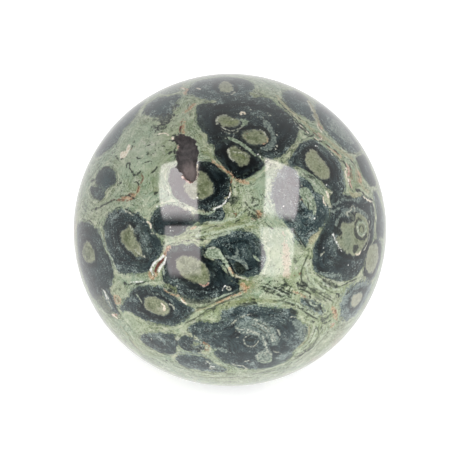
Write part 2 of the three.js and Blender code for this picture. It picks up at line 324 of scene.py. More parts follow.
# Areas with an outline of their own, by kind
SHAPES = {
    "sage": [
        [(-4.65, -4.3), (-4.3, -3.7), (-3.6, -3.3), (-2.7, -3.3), (-1.9, -3.8), (-1.5, -4.5), (-1.3, -5.1),
         (-0.95, -5.9), (-0.3, -6.8), (0.25, -7.7), (0.7, -8.5), (0.4, -8.8), (-0.1, -8), (-0.6, -7),
         (-1.2, -6.2), (-1.9, -5.5), (-2.9, -5.4), (-3.7, -5.3), (-4.3, -4.9)],
        [(-0.4, 17.7), (0.6, 17.5), (1.8, 16.9), (3, 16.1), (4.1, 15.2), (5, 14.2), (4.6, 14.1),
         (3.8, 14.8), (2.7, 15.7), (1.6, 16.4), (0.6, 16.9), (-0.3, 17.4)],
        [(2, 21.2), (2.8, 21), (3.5, 20.6), (2.9, 20), (2, 19.6), (2.3, 20.4)],
        [(13.2, 7.7), (14.2, 8), (15, 7.7), (15.6, 6.8), (16.1, 5.6), (16.4, 4.4), (16.3, 3.2), (15.9, 2.9),
         (15.7, 3.9), (15.1, 3.8), (14.6, 4.4), (14, 5.2), (13.6, 6.2), (13.2, 7)],
        [(13.6, 11.6), (14.6, 11.2), (15.8, 10.4), (17, 9.2), (18, 7.9), (18.4, 6.9), (17.6, 7),
         (16.8, 7.2), (16.1, 7.4), (15.7, 8.4), (15, 9.3), (14, 10), (13, 10.6)],
        [(4.4, -4.8), (4.9, -4.9), (5.3, -5.5), (5.8, -5.9), (5.2, -5.8), (4.7, -5.3)],
        [(5, -24.4), (5.7, -23.5), (6.6, -23.1), (7.4, -23.4), (8, -24.3), (7.7, -25.1), (6.6, -25.4),
         (5.4, -25)],
    ],
    "haze": [
        [(-23.8, 17.3), (-22.6, 19), (-21.2, 20.6), (-20.2, 21.6), (-20.9, 21.8), (-22.3, 20.3),
         (-23.6, 18.7), (-24.4, 17.3)],
        [(-13.6, 26.2), (-12.4, 25.9), (-10.8, 26.1), (-9.6, 26.7), (-9.2, 27.8), (-10.6, 27.6),
         (-12.2, 27)],
        [(19, 20.5), (20.4, 20.3), (22.2, 18.5), (23.7, 16.6), (22.6, 16.7), (20.8, 17.8), (19.3, 19.3)],
        [(6.4, 20.9), (7.2, 20.7), (8, 19.7), (8.5, 18.4), (8.8, 17.2), (8.6, 16.1), (7.9, 15.4),
         (6.9, 15.1), (5.8, 15.5), (6.6, 15.9), (7.3, 16.5), (7.7, 17.4), (7.6, 18.4), (7, 19.2),
         (6.4, 19.8)],
        [(4.6, -16.9), (6.2, -17.3), (7.6, -18.2), (8.8, -19.3), (9, -20.8), (8.6, -21.8), (8, -21),
         (7.4, -19.9), (6.2, -19.2), (5.2, -18.4), (4.2, -17.8)],
        [(1.8, -18.8), (3.4, -19.2), (5.2, -19.5), (6.6, -20.2), (7, -21.4), (7.4, -22.6), (8, -23.6),
         (7.6, -24.8), (6.6, -25.2), (5.4, -25), (4.7, -24.2), (5.2, -23.4), (6.4, -22.8), (6.3, -21.6),
         (5.8, -20.6), (4.6, -20), (3.2, -19.9), (2, -19.6)],
        [(12.4, -17), (13.2, -17.2), (14.2, -18.4), (14.9, -19.9), (14.2, -20), (13, -19), (12.8, -18.2)],
        [(-2.4, -22.6), (-1.6, -22.4), (-0.8, -22.8), (-0.6, -23.2), (-1.2, -23.3), (-2, -22.9)],
        [(-7.3, -21.7), (-6.9, -21), (-6.2, -20.8), (-5.6, -21.2), (-5.5, -21.9), (-5.9, -22.5),
         (-6.6, -22.7), (-7.2, -22.4)],
        [(-4, -25.2), (-3, -25.4), (-1.8, -26), (-1.2, -26.6), (-2.4, -26.7), (-3.6, -26.4)],
        [(-0.9, -4.8), (0.4, -5), (1.1, -4.2), (1.2, -3.5), (1.6, -3.8), (1.8, -5), (2.4, -5.6), (3, -6.2),
         (3.4, -7.3), (2.9, -7.2), (2.2, -6.5), (1.6, -6), (0.6, -5.6), (-0.4, -5.4)],
        [(19.4, 21.2), (20.6, 20.9), (22, 19.3), (23.2, 17.6), (23.4, 16.4), (22.4, 16.8), (21.2, 17.8),
         (20.2, 19), (19.4, 20.2)],
        [(19, 3.6), (19.8, 4), (21, 4.3), (20.4, 3.7), (19.6, 3.2)],
        [(-24.5, -11.2), (-23.8, -11.6), (-23.2, -12.6), (-22.7, -13.6), (-22.3, -14.6), (-22.7, -15.1),
         (-23.3, -14.4), (-23.9, -13.2), (-24.3, -12.2)],
    ],
    "dusk": [
        [(-25.6, -12.4), (-24.2, -12.9), (-23.3, -14.4), (-22.4, -15.8), (-23.4, -16), (-24.6, -14.8),
         (-25.8, -13.2)],
        [(-11.5, -11.2), (-9.8, -12), (-8.2, -12.9), (-6.2, -13.2), (-4.2, -13.1), (-2, -12.6),
         (-1.4, -12.9), (-3, -13.6), (-5, -14.1), (-7, -14.3), (-8, -14), (-9.4, -13), (-10.8, -12.2)],
        [(13.5, -9.6), (14.2, -9.8), (14.9, -10.6), (14.3, -10.9), (13.6, -10.7), (13, -10.6),
         (13.2, -10.1)],
    ],
    "teal": [
        [(1.2, -18), (2.6, -17.5), (4.3, -17.1), (6.4, -17.6), (8.2, -19.1), (9.4, -21), (8.6, -22),
         (7.2, -21.1), (6.4, -20.2), (4.9, -19.5), (2.9, -19.6), (1.4, -19.2)],
    ],
    "cream": [
        [(-20.9, 13.8), (-20.1, 13.8), (-19.5, 14.6), (-19, 16), (-19.4, 16.2), (-19.9, 15), (-20.7, 14.9)],
    ],
    "tan": [
        [(17.3, 0), (16.8, -0.4), (15.9, -0.9), (15.2, -1.4), (15, -2.4), (15.6, -2.6), (16.2, -1.9),
         (16.7, -1)],
        [(22.6, 7.7), (23.3, 7.1), (24.4, 7), (25, 6.5), (24.2, 6.3), (23.5, 6.1), (23, 6.6)],
    ],
    "ink": [
        [(0.8, -6.2), (1.6, -6.1), (2.4, -6.7), (3, -7.5), (2.6, -8.3), (1.6, -8.3), (1, -7.4)],
        [(23.6, -2.9), (24.4, -2.8), (24.6, -3.4), (24.2, -4), (23.7, -4.4), (23.4, -3.9)],
        [(23.7, -0.2), (24.1, 0), (24.2, -0.9), (24.8, -1.5), (25.6, -1.5), (25.8, -0.9), (26.1, -1),
         (25.8, -1.8), (25.1, -2), (24.4, -1.7), (23.8, -1.1)],
        [(11.4, -15), (12.2, -15.1), (12.9, -15.7), (12.6, -16.2), (12.1, -15.8), (11.5, -15.7)],
        [(-12, -11.2), (-11.4, -11.2), (-10.9, -11.5), (-11.3, -11.8), (-11.9, -11.6)],
        [(23.9, 7.9), (24.6, 7.8), (25.2, 7.4), (25.6, 7), (24.9, 7.1), (24.2, 7.3)],
    ],
}

# Veins, threads and smears by kind, then by half their width in mm: the points along each
STROKES = {
    "ink": {
        0.08: [[(16.3, -11.6), (17.6, -12.1), (18.8, -12.7), (19.8, -13.1)],
            [(14.9, -10.7), (16.4, -11.7), (17.9, -12.6), (19.5, -13.5)]],
        0.09: [[(-28.2, 4.6), (-27.8, 3.9), (-27.4, 3.4)], [(12.7, -0.6), (13.5, -2), (14.3, -3.2)],
            [(15.3, -5.4), (15, -6.1), (14.9, -6.7)], [(15, -15.3), (16.4, -16.1), (17.6, -16.6)],
            [(16.9, -8.3), (17.6, -8.8), (18.6, -9.2)]],
        0.1: [[(-13.6, 15.6), (-12.9, 16), (-12.3, 15.7)], [(-17.8, 14), (-17.3, 13.6), (-16.7, 13.7)],
            [(-15.8, 16.1), (-15.3, 16.2)], [(-18.3, 10.5), (-17.6, 10.6), (-17.2, 10.9)],
            [(-16.4, 12.7), (-15.7, 13), (-15, 13.1)], [(4, 26.9), (4.8, 26.5), (5.8, 26), (6.8, 25.7)],
            [(4, 25.7), (5.2, 25.8), (6.4, 25.5)], [(8, 25.8), (8.8, 25.2)],
            [(16.2, 17.7), (17, 17.2), (18, 16.5), (19, 15.9), (20, 15.2), (20.7, 14.5)],
            [(25.3, 7), (26.2, 6.3), (27.3, 5.7)], [(14.2, 10.5), (14.9, 10.1), (15.6, 9.7)],
            [(13.8, 11), (15.2, 10.3), (16.6, 9.1), (17.6, 7.9)], [(1.1, 1.5), (1.8, 2)],
            [(-5.7, -0.2), (-5.1, 0), (-3.9, 0.4)],
            [(-26.6, 3.7), (-25.6, 4), (-24.6, 4.5), (-23.4, 5), (-22.4, 5.6)],
            [(-20.9, 6.4), (-19.8, 6.6), (-18.8, 6.3), (-18.1, 5.9)], [(-24.4, 1.6), (-24.4, 0.9)],
            [(-21.8, 4.1), (-20.8, 4.3), (-19.8, 4), (-19, 3.6), (-18.4, 3.3)],
            [(-5.9, -17.6), (-5.6, -17)], [(17.4, -17.2), (18.4, -17.6), (19.2, -17.2)],
            [(6.2, -10.1), (7, -10.3), (7.7, -10.7)], [(7.5, -9.8), (8.6, -9.7), (9.4, -10.2), (10, -10.9)],
            [(11, -13.9), (12.2, -14.2), (13.4, -15), (14.8, -16), (16.2, -16.9)],
            [(17.6, -9.2), (18.6, -9.7), (19.8, -10.2), (20.7, -10.7)],
            [(5.4, -17.6), (6.8, -18.3), (7.8, -19.4)],
            [(10.6, -13.8), (13.2, -14.8), (15.4, -16.3), (16.9, -17.1)],
            [(14, -22.6), (15, -21.6), (15.6, -20.4)], [(-5, -22), (-4.8, -22.6)]],
        0.11: [[(4.1, 6.5), (4.6, 6), (5.1, 5.9)], [(5.3, 5.8), (5.7, 5.5)], [(3.6, 4.4), (4, 4)],
            [(-26, 4), (-25, 4.3), (-24, 4.8), (-23, 5.3), (-22, 5.7)],
            [(15.2, -12.9), (16.2, -13.2), (17, -14), (17.3, -15)],
            [(12.1, -0.1), (12.7, -1.2), (13.3, -2.4), (13.7, -3.2)],
            [(12.6, -24.2), (14, -23.6), (15, -23), (16, -22.2)]],
        0.12: [[(-22.1, 14.2), (-21.6, 14), (-20.9, 13.5), (-20.4, 13.6)],
            [(-24.6, 11.6), (-24, 11.9), (-23.2, 12), (-22.4, 11.6)], [(-13.7, 18), (-12.8, 18)],
            [(-2.3, 19.6), (-1.2, 18.9), (0.2, 18.6), (1.6, 18.5)],
            [(9.8, 24.9), (11, 23.7), (12.2, 22.3), (13.4, 21.1)],
            [(12.4, 20.6), (13.3, 19.7), (14.2, 18.9), (14.9, 18.3)],
            [(21.8, 13.9), (22.6, 13.3), (23.4, 12.6)], [(22.6, 9.2), (23, 8.1), (23.5, 7.3)],
            [(-0.3, 5.4), (0.2, 5.2), (0.9, 5)], [(7, 1.2), (7.5, 0.7), (8.1, 0.3)],
            [(-6.3, -1.8), (-5.3, -1.8)], [(-26.9, 1.9), (-26.2, 1.3)], [(-17.4, -4.8), (-17, -5.2)],
            [(-24.2, -11.2), (-23.2, -12.2), (-22.5, -13.4), (-22, -14.6)],
            [(-6.8, -17), (-6.2, -16.4), (-5.6, -16)], [(14.2, -13), (14.8, -13.8), (15.8, -14.6)],
            [(18.6, -15.4), (19.2, -16.2)], [(20.2, -12.2), (20.7, -12.6), (20.2, -13.2)],
            [(5.7, -10.7), (7, -11), (7.9, -11.4)], [(4.4, -18.2), (5.8, -18.9), (6.8, -19.7)]],
        0.13: [[(-9.2, -2.1), (-8.2, -2), (-7.3, -2)],
            [(17.4, -9.2), (18.2, -9.9), (19.2, -10.5), (20.3, -10.9), (21.4, -10.6), (22.4, -10.1),
            (23.4, -9.7)], [(14, -10), (14.8, -10.8), (15.4, -11.4), (16.3, -12)],
            [(14.3, -13.3), (14.9, -14), (15.6, -14.8), (16.6, -15.2)],
            [(16, -13.3), (16.8, -13.9), (17.3, -14.8), (17.7, -15.9)]],
        0.14: [[(-18.2, 9.3), (-17.6, 9), (-17.2, 8.4)], [(-14.2, 18.6), (-14, 19.1), (-13.6, 18.9)],
            [(-11.3, 23.4), (-10.6, 23.5), (-10, 23.9), (-9.4, 24.6)],
            [(-15, 19.7), (-14.2, 19.8), (-13.7, 19.4), (-13.2, 19.6)],
            [(-14.2, 18.8), (-13.5, 19.3), (-13, 18.6)], [(-13, 20.2), (-12.4, 19.4), (-12.9, 18.9)],
            [(-11.5, 17.1), (-10.9, 16.9)], [(1.4, 16), (1.8, 15.4), (2.4, 15)],
            [(16, 17.3), (17.2, 16.9), (18.6, 16.1), (19.6, 15.4)],
            [(18.6, 15.5), (19.8, 14.5), (20.8, 13.6), (21.8, 12.8)],
            [(21.4, 13.3), (21.8, 12.9), (22.1, 12.2), (22, 11.4)], [(22.9, 13.4), (23.5, 12.8), (24, 12)],
            [(15.7, 5.4), (15.9, 4.4)], [(0.3, 8.3), (0.9, 8.1), (1.5, 8.2), (1.9, 8.5)],
            [(-25, 2), (-24.8, 1.2)], [(2.6, -13.9), (3.6, -14), (4.6, -13.9)],
            [(3.9, -13.3), (4.5, -13.2), (5, -13.4)], [(6.6, -11.5), (8, -12), (9.4, -12.4)],
            [(-3.2, -26.5), (-2.2, -26.7), (-1.2, -26.9)], [(21.9, -4.3), (22, -3.9)],
            [(24.9, 0.8), (24.7, 0.1), (25, -0.4), (25.4, -0.2), (25.4, 0.5), (25.1, 0.9)],
            [(20.9, -0.2), (21.3, -0.7)], [(20.4, -1.4), (20.9, -1.7), (21.2, -1.3)]],
        0.15: [[(20.4, 16.6), (21.2, 15.9), (22.2, 15.1), (23.4, 14.7), (24.3, 14.4)],
            [(8.2, -11.6), (9.2, -12.1), (10.5, -12.6), (11.6, -12.8)]],
        0.16: [[(-15, 19.6), (-14.2, 19.4), (-13.5, 19.9), (-12.9, 20.1)],
            [(-13.3, 21.9), (-12.6, 22.2), (-12, 22.1), (-11.2, 21.3)],
            [(-13.1, 20.8), (-12.4, 20.1), (-11.9, 20.3), (-11.5, 20.9)],
            [(-11.6, 22.4), (-11, 21.4), (-11.8, 20.8)], [(-10.9, 17.9), (-10.1, 18.2), (-9.3, 18.5)],
            [(14.6, 9.3), (15.4, 8.4), (15.9, 7.5)], [(14.8, 5.2), (15, 4)],
            [(4.1, 3.1), (4.6, 2.6), (5, 2)],
            [(-20.1, -10), (-19.2, -10.4), (-18.4, -10.1), (-17.4, -10.2), (-16.2, -9.9), (-15.6, -9.8)],
            [(-24.2, -11.3), (-23.2, -12.2), (-22.5, -13.2), (-22.2, -14.2), (-21.6, -15.2),
            (-20.8, -16.3)], [(12.8, -10), (13.4, -10.6), (14.2, -10.5)],
            [(13.2, -11.2), (14.4, -11.6), (15.4, -12.2)],
            [(8.5, -11), (9.4, -11.3), (10.2, -11.7), (11.2, -12.2)],
            [(9.8, -10.9), (10.6, -11.4), (11.6, -11.9), (12.8, -12.5)], [(6.2, -24), (6.6, -24.3)],
            [(20.4, 0.6), (20.8, 1.2), (21.4, 2)], [(20.2, -0.4), (20.6, -0.8)]],
        0.17: [[(9.2, 24.5), (10.2, 23.5), (11.2, 22.5), (12.2, 21.4), (13.2, 20.4), (14.3, 19.5),
            (15.2, 18.4)]],
        0.18: [[(-19.1, 11.9), (-18.8, 11.3), (-18.4, 11)],
            [(14, 18.6), (14.6, 18), (15.4, 17.9), (15.9, 18.2)], [(10.2, -9.6), (10.6, -9.6)],
            [(15.7, -17.4), (16, -17.5)], [(19.9, -0.8), (20.5, -0.2), (20.8, -1.4), (20.4, -1.7)]],
        0.2: [[(-14.9, 10.9), (-14.4, 11.3), (-13.9, 11.9)],
            [(-10.6, 17.3), (-10.2, 16.4), (-10.5, 15.2), (-10.4, 13.9)],
            [(2, 17.5), (3.2, 16.6), (4.4, 16), (5.2, 16)], [(13.1, 19.9), (13.8, 19.4), (14.4, 18.9)],
            [(24.5, 13.2), (25.1, 11.7), (25.9, 10.3), (27, 8.7)], [(4.4, -13.8), (5, -14)],
            [(10.2, -10.3), (10.8, -10.5)]],
        0.22: [[(-19.7, 12), (-19.4, 12.7), (-19.1, 12.3)], [(-18.4, 10.5), (-17.6, 10.7), (-17.1, 11.1)]],
        0.24: [[(-14.4, 6.8), (-13.8, 7.2)], [(5.8, 19.4), (6.9, 18.8), (7.5, 17.9), (7.5, 17)]],
        0.26: [[(-11.6, 14.5), (-11.3, 14.8)], [(-20.1, -10.2), (-19.8, -10.1)]],
        0.3: [[(-26.6, 9.2), (-26, 9.6)], [(3.4, -21), (4, -21), (4.6, -20.9)],
            [(12, -15.7), (12.4, -15.9)], [(24.3, 1.9), (23.9, 1), (23.8, -0.2)]],
        0.36: [[(24.4, 2), (25, 1.9)]],
        0.42: [[(23.9, -0.4), (24.3, -1.3), (25.1, -1.7), (25.8, -1.4), (26, -0.9)]],
    },
    "dusk": {
        0.1: [[(7, 6.2), (7.6, 5), (8, 4.2)], [(-23.4, -15), (-23.8, -15.8), (-22.8, -16.4)],
            [(-19.2, -20.9), (-18, -22.4), (-16.8, -23.6)],
            [(17.8, -18.6), (17, -20.2), (15.8, -22), (14, -23.6), (12, -24.8)],
            [(-10, -25.6), (-6.4, -26.9), (-2.4, -27.2), (0.4, -27.4)],
            [(-6, -28), (-2, -28.2), (2, -27.9), (6.4, -27.2), (10, -26.6)]],
        0.12: [[(-7.3, -21.7), (-6.8, -22.5), (-6, -22.7), (-5.4, -22.2), (-5.2, -21.5)]],
        0.14: [[(-26.8, 9.9), (-25.9, 11), (-24.9, 12.1)],
            [(14.4, -7.8), (14.8, -9.2), (15.8, -10.6), (17.4, -11.8), (19, -12.6)],
            [(14, -18.9), (14.5, -19.6), (14.8, -20.1)]],
        0.16: [[(-28, 5.4), (-27.6, 4.6), (-27, 4)]],
        0.2: [[(-26.4, 3.9), (-25.2, 4.2), (-24.2, 4.7), (-23.2, 5.2), (-22.2, 5.7)]],
        0.22: [[(2.9, 18.2), (3.4, 18.8), (4.2, 18.9)]],
        0.24: [[(15.6, -17.3), (15.9, -17.5)]],
        0.25: [[(16.3, -12.7), (17.4, -13.4)]],
        0.3: [[(-14.6, 21), (-13.2, 20.8), (-12.4, 20.2)], [(1.8, -14), (3.4, -14.1), (4.6, -13.6)],
            [(14.6, -13.2), (15.8, -14.2), (17, -15.2)], [(12.3, -5.6), (12.5, -6.1)],
            [(17.4, -16.9), (18.2, -17.1), (18.6, -16.5)], [(23.6, 2), (22.9, 2.9), (22, 3)]],
        0.34: [[(8.4, -11.2), (9.8, -11.8), (11.2, -12.4)]],
        0.4: [[(0.2, 5.4), (0.9, 6.1), (1.5, 6)], [(13.2, -10.4), (14.4, -11)],
            [(17.8, -9.9), (19.2, -10.6), (20.4, -11)]],
        0.5: [[(-13.4, 21.6), (-12.2, 21.2), (-11.6, 21.8)], [(0.4, 5.2), (0.7, 5.9)]],
    },
    "pale": {
        0.06: [[(-0.6, -10.9), (0, -10.8), (0.2, -11.2), (-0.3, -11.4), (-0.6, -11.1)]],
        0.08: [[(-17, 17), (-15.9, 16.2), (-15.4, 15.2), (-16.2, 14.7)],
            [(-14.6, 14.2), (-13.9, 14.9), (-12.9, 15.2), (-12.4, 14.4)],
            [(12.4, -0.4), (13.1, -1.8), (13.9, -2.9)],
            [(2.6, -21.2), (2.7, -20.6), (3.2, -20.2), (3.9, -20.1)],
            [(2.7, -21.2), (3, -21.8), (3.7, -22.2), (4.5, -22.1), (5.1, -21.6), (5.4, -21)],
            [(4.2, -18), (5.4, -18.5), (6.5, -19.4), (7.3, -20.5)]],
        0.09: [[(-15.1, 16.9), (-14.6, 16.3), (-14, 16.6)], [(-0.9, 17.5), (-0.1, 17.5), (0.6, 17.8)],
            [(1, -8.6), (2, -9), (2.8, -9.3), (3.5, -9.5)],
            [(4.2, -16.9), (5.7, -17.4), (7, -18.3), (8, -19.5), (8.6, -21)], [(1.4, -19.3), (2.9, -19.5)],
            [(-7.2, -21.4), (-6.7, -20.9), (-6, -20.9), (-5.6, -21.4), (-5.6, -22.1)]],
        0.1: [[(17, 16.6), (18, 16.1), (18.9, 15.4), (19.6, 15)], [(19, 14.8), (20.2, 13.7), (21.3, 12.7)],
            [(13.7, 10.6), (15, 9.9), (16.2, 8.8), (17.2, 7.6)], [(-20, 3.6), (-19.2, 3.3), (-18.5, 2.8)],
            [(-14.9, -0.6), (-14.2, -0.8), (-13.6, -1.3)],
            [(-4.5, -4.4), (-4, -3.7), (-3.2, -3.4), (-2.4, -3.6)],
            [(4.6, -17.5), (5.9, -18.1), (7, -18.9), (7.7, -20), (8.1, -21.3)],
            [(1.2, -18.6), (2.4, -18.9), (4, -19.2), (5.4, -19.7), (6.5, -20.6)],
            [(5.2, -24.2), (6, -24.9), (7.2, -24.9)], [(8.6, -18.4), (9.3, -19.5), (9.4, -20.8)],
            [(-5.5, -21.9), (-5.3, -22.6), (-5.4, -23.3), (-4.7, -23.8), (-4.1, -23.4), (-4, -22.6)],
            [(26.5, 1.8), (26.7, 0.4), (26.6, -1.2), (26.2, -2.6), (25.6, -3.8)]],
        0.12: [[(-2, 19.9), (-1.1, 19.3), (0, 18.9), (1.2, 19.1), (2.2, 19.5)],
            [(-1.5, 19.1), (-0.5, 18.5), (0.6, 18.4), (1.5, 18.8)],
            [(0.6, 15), (1.6, 14.7), (2.6, 14.5), (3.2, 13.9)], [(18.9, 7), (19.5, 7.3)],
            [(15.6, 6.4), (16, 5.2), (16.1, 3.8), (16.2, 2.8)], [(3, -19.5), (4.4, -19.5), (5.6, -20)],
            [(6.4, -20.8), (6.8, -21.8), (7, -22.8), (7.9, -23.8)], [(3.3, -16.2), (4, -16.1)],
            [(-4.6, -24.9), (-3.8, -25.5)], [(-5.2, -20.7), (-4.6, -20.8)],
            [(21.8, 2.6), (22.6, 3.5), (23.2, 3.9)]],
        0.13: [[(-0.9, 25.8), (0.2, 25.8), (0.6, 26.1), (0.6, 26.7), (0.1, 26.5)],
            [(16, -18), (15.8, -19.5), (15.3, -20.8), (14.2, -22)],
            [(8.4, -23.1), (9.2, -23.4), (9.8, -23.6), (10.4, -23.4)], [(-3.9, -26.2), (-3, -26.5)],
            [(22.8, 3.9), (23.8, 4), (23.6, 3.3)]],
        0.14: [[(5, 18.9), (6.2, 18.8), (6.7, 18.1)], [(-0.3, 15.2), (-0.1, 14.1), (0.8, 13.1)],
            [(15.8, 22.2), (16.1, 21.4), (16.7, 20.7)], [(14.3, 6.9), (14.9, 6), (15.4, 4.8)],
            [(-18, -3.7), (-17.6, -4.3), (-17, -4.7), (-16.4, -5), (-16.3, -5.4)],
            [(18.4, -10.2), (19.4, -11), (20.2, -11.6)],
            [(16.3, -8.3), (17.3, -9), (18.8, -9.5), (20.4, -10), (22, -10.2), (23.8, -9.6), (25.3, -9.1)],
            [(5.2, -24), (5.6, -23.5), (6.2, -23.4), (6.9, -23.9)], [(2.2, -16.5), (2.8, -16.3)],
            [(-4, -28.4), (0, -28.5), (4.4, -28), (8, -27.5)],
            [(24.6, 1.4), (24.3, 0.2), (24.6, -0.8), (25.3, -1.1), (25.8, -0.4), (25.8, 0.6), (25.4, 1.4)],
            [(17.3, -4.8), (17.9, -4.2)]],
        0.15: [[(12, 21), (12.6, 20.2), (13, 19.6), (13.6, 19.2)]],
        0.16: [[(27.2, 5.4), (27.5, 4.2), (27.5, 2.8)], [(18.6, 5.4), (18.7, 4.8), (19.4, 4.5)],
            [(2.4, -6.3), (2.9, -6.7)], [(0.3, -17.8), (0.8, -17.5), (1.1, -17.2)],
            [(2.7, -25.1), (3.6, -24.9)], [(22.4, 3.6), (22.4, 2.8)]],
        0.18: [[(15, 23.6), (15.6, 22.9), (15.8, 22.4)], [(11.7, -16.5), (12.3, -16.6)],
            [(0.3, -25.4), (1.1, -25.8), (2, -25.9), (3.2, -26.4)],
            [(20.1, -2), (20.5, -2.8), (21.1, -3.6)]],
        0.2: [[(-11.4, -14.1), (-10.9, -14.5), (-10.6, -14.9)]],
        0.22: [[(-2.4, 20.2), (-2.4, 21.1), (-1.7, 21.8), (-0.8, 21.8)], [(-7.2, -17.7), (-6.7, -17.3)]],
        0.24: [[(14.8, 24.6), (15.4, 23.6), (15.8, 22.6)], [(-19, 0.9), (-18.7, 0.2)]],
        0.26: [[(-23.2, -13.6), (-22.9, -14.2), (-22.6, -14.8)]],
        0.28: [[(-10.2, -20.8), (-9.7, -20.6)]],
        0.3: [[(-23.9, -11.7), (-23.6, -12.4), (-23.4, -13)]],
    },
    "rust": {
        0.1: [[(-8.4, 10.1), (-7.8, 9.6)], [(13.6, 6), (13.9, 5.4), (14.2, 5)],
            [(-11.9, -3.6), (-12.4, -4.6)], [(1.8, -12), (2.6, -11.6), (3.6, -11.2)],
            [(12.4, -11.8), (13.4, -12.1), (14.4, -12.6)]],
        0.11: [[(5.6, 3.1), (6, 2.9)]],
        0.12: [[(-7.4, 22.7), (-7.6, 21.9)], [(24.4, 10.6), (24.7, 9.8)],
            [(0.8, 3.1), (1.2, 2.8), (0.9, 2.4)],
            [(-18, 6.4), (-17.6, 7.3), (-17.3, 8.2), (-16.9, 9), (-16.6, 9.9)],
            [(-21.9, -12.8), (-21.4, -13.2), (-21.2, -13.9)], [(20, -15.2), (20.4, -16.2)]],
        0.13: [[(-2.3, 12.1), (-1.9, 11.9)], [(0.3, 9.6), (0.3, 9.1)],
            [(-20, 6.3), (-19, 6.8), (-18.1, 6.8)], [(12.2, -8.7), (13, -8.4), (13.5, -8.2)]],
        0.14: [[(-16.8, 10.6), (-16.6, 9.8), (-16.9, 9.2)], [(-8.3, 23.1), (-7.6, 23.4)],
            [(16.4, 18), (16.9, 17.9), (17.3, 17.4)],
            [(17.2, 16.9), (18.2, 16.4), (19.2, 15.7), (20, 15.1), (20.5, 14.5)],
            [(23.3, 11.5), (23.2, 10.6), (23.4, 9.7)],
            [(-22.6, 5.6), (-21.4, 5.8), (-20.4, 5.7), (-19.2, 5.7), (-18.3, 6.1)],
            [(-14.7, -8.1), (-14.3, -8.8)]],
        0.15: [[(-9.5, 18.6), (-9.4, 19.4), (-9.3, 19.9), (-9.2, 20.5), (-9, 21.3)]],
        0.16: [[(4.2, 2.2), (4.9, 1.9)]],
        0.2: [[(-4.9, -21.4), (-4.3, -21.9), (-4.5, -22.9)]],
    },
    "olive": {
        0.16: [[(0.9, 14.2), (1.8, 14.1), (2.7, 13.7)]],
        0.2: [[(-3, 0.2), (-0.4, 0.5), (1.8, 1.6), (3.4, 2.6)]],
        0.22: [[(-5, 0.8), (-2.4, 1.1), (0.4, 1.2), (3, 0.9), (5.4, 0.4)]],
        0.26: [[(-12, -10.5), (-11, -10.9), (-10.4, -11.6)]],
        0.3: [[(4.2, 26), (5, 25.5)], [(-5.2, 14.8), (-3.8, 14.2), (-3.3, 13.6)]],
        0.35: [[(3.6, 9.6), (4.6, 9.8)]],
        0.4: [[(-0.8, 20.6), (0.2, 20.5), (1, 20.6)],
            [(-0.6, -14.2), (1.4, -13.7), (3.4, -13.3), (6, -13.4), (8.6, -13.6)],
            [(-6.7, -21.7), (-6.1, -21.7)]],
        0.5: [[(-14.2, 7), (-13.9, 7.6)]],
        0.9: [[(2.6, -10), (3.6, -10.4)]],
    },
    "cream": {
        0.1: [[(-13.6, 18.3), (-12.9, 18.4), (-12.2, 18.4), (-11.7, 18)],
            [(-6.6, 10.1), (-6.4, 11), (-6.4, 11.8)], [(-9.3, -13.2), (-8.7, -13.8), (-8.2, -14.1)]],
        0.12: [[(-9.2, 27.1), (-8.7, 26.8)], [(16.6, 20.1), (16.9, 19.4), (17.5, 18.7)],
            [(-15.7, 1.6), (-15.3, 1.2), (-15, 0.4)]],
        0.13: [[(13.4, 20), (14.2, 19.1), (14.9, 18.5)],
            [(17.8, 6.2), (17.8, 5.6), (18.1, 5), (18.2, 4.7)]],
        0.14: [[(-6.4, 27.1), (-5.7, 26.9)], [(16.2, 17.6), (17, 17.2), (17.4, 17.5)],
            [(22.6, 9.8), (22.6, 9), (22.9, 8.3)], [(25.5, 6.3), (26.4, 5.7), (27, 5.4)],
            [(24, -4.6), (24.5, -4.6), (24.9, -4.1)]],
        0.16: [[(-6.4, 11.8), (-6.2, 12.3)], [(22.2, 11.8), (22.1, 10.7), (22.3, 9.8)]],
        0.18: [[(2.1, 22), (2.4, 22.4), (2.8, 22.1)], [(-13, -14), (-12.5, -14.7), (-12.5, -15.3)]],
        0.2: [[(-11, 17.6), (-10.9, 17.4)]],
        0.22: [[(18.4, 7.2), (18.6, 6.7), (18.7, 6.2)]],
        0.24: [[(-22.3, -16.2), (-21.6, -16.8)]],
    },
    "teal": {
        0.12: [[(-15.4, -12.1), (-13.8, -12.2), (-12.2, -12.7), (-11, -13.7), (-10.6, -14.4)]],
        0.2: [[(19.6, 4.6), (21, 5.4), (22.8, 5.8), (24.6, 5.4)], [(26.9, 4.4), (27.1, 2.4), (27, 0.4)]],
        0.28: [[(21.2, 11.6), (21.6, 10), (21.8, 8.6), (22, 7.6)]],
        0.3: [[(-11.4, 24.6), (-10.6, 23.9), (-9.8, 23.6)]],
    },
    "blood": {
        0.1: [[(-8.8, 9.8), (-8.2, 9.3)], [(-7.5, 8.9), (-6.9, 9.2)]],
        0.12: [[(22.9, 10.9), (23, 10.1)]],
        0.14: [[(15.9, 18.6), (16.5, 18.2)], [(22.8, 12.4), (23, 11.6)]],
        0.16: [[(-9.5, 19), (-9.4, 19.7)]],
        0.26: [[(-12.7, -5.6), (-13.4, -6.3), (-13.9, -7), (-14.2, -7.8)]],
    },
    "peach": {
        0.1: [[(7.1, 17.4), (7, 16.8), (6.4, 16.4)]],
        0.11: [[(-12.4, -11.4), (-11.6, -12), (-10.6, -12.4), (-9.4, -12.9), (-8.6, -13.7), (-7.8, -14.4)]],
        0.14: [[(-11.3, -12.2), (-10.4, -12.5), (-9.2, -13)],
            [(12, -11.7), (12.8, -12), (13.6, -12.4), (14.3, -12.8)],
            [(19.4, -15.2), (19.8, -16.2), (20.4, -17.2)],
            [(-4.9, -21.5), (-4.3, -21.8), (-4, -22.4), (-4.2, -23)]],
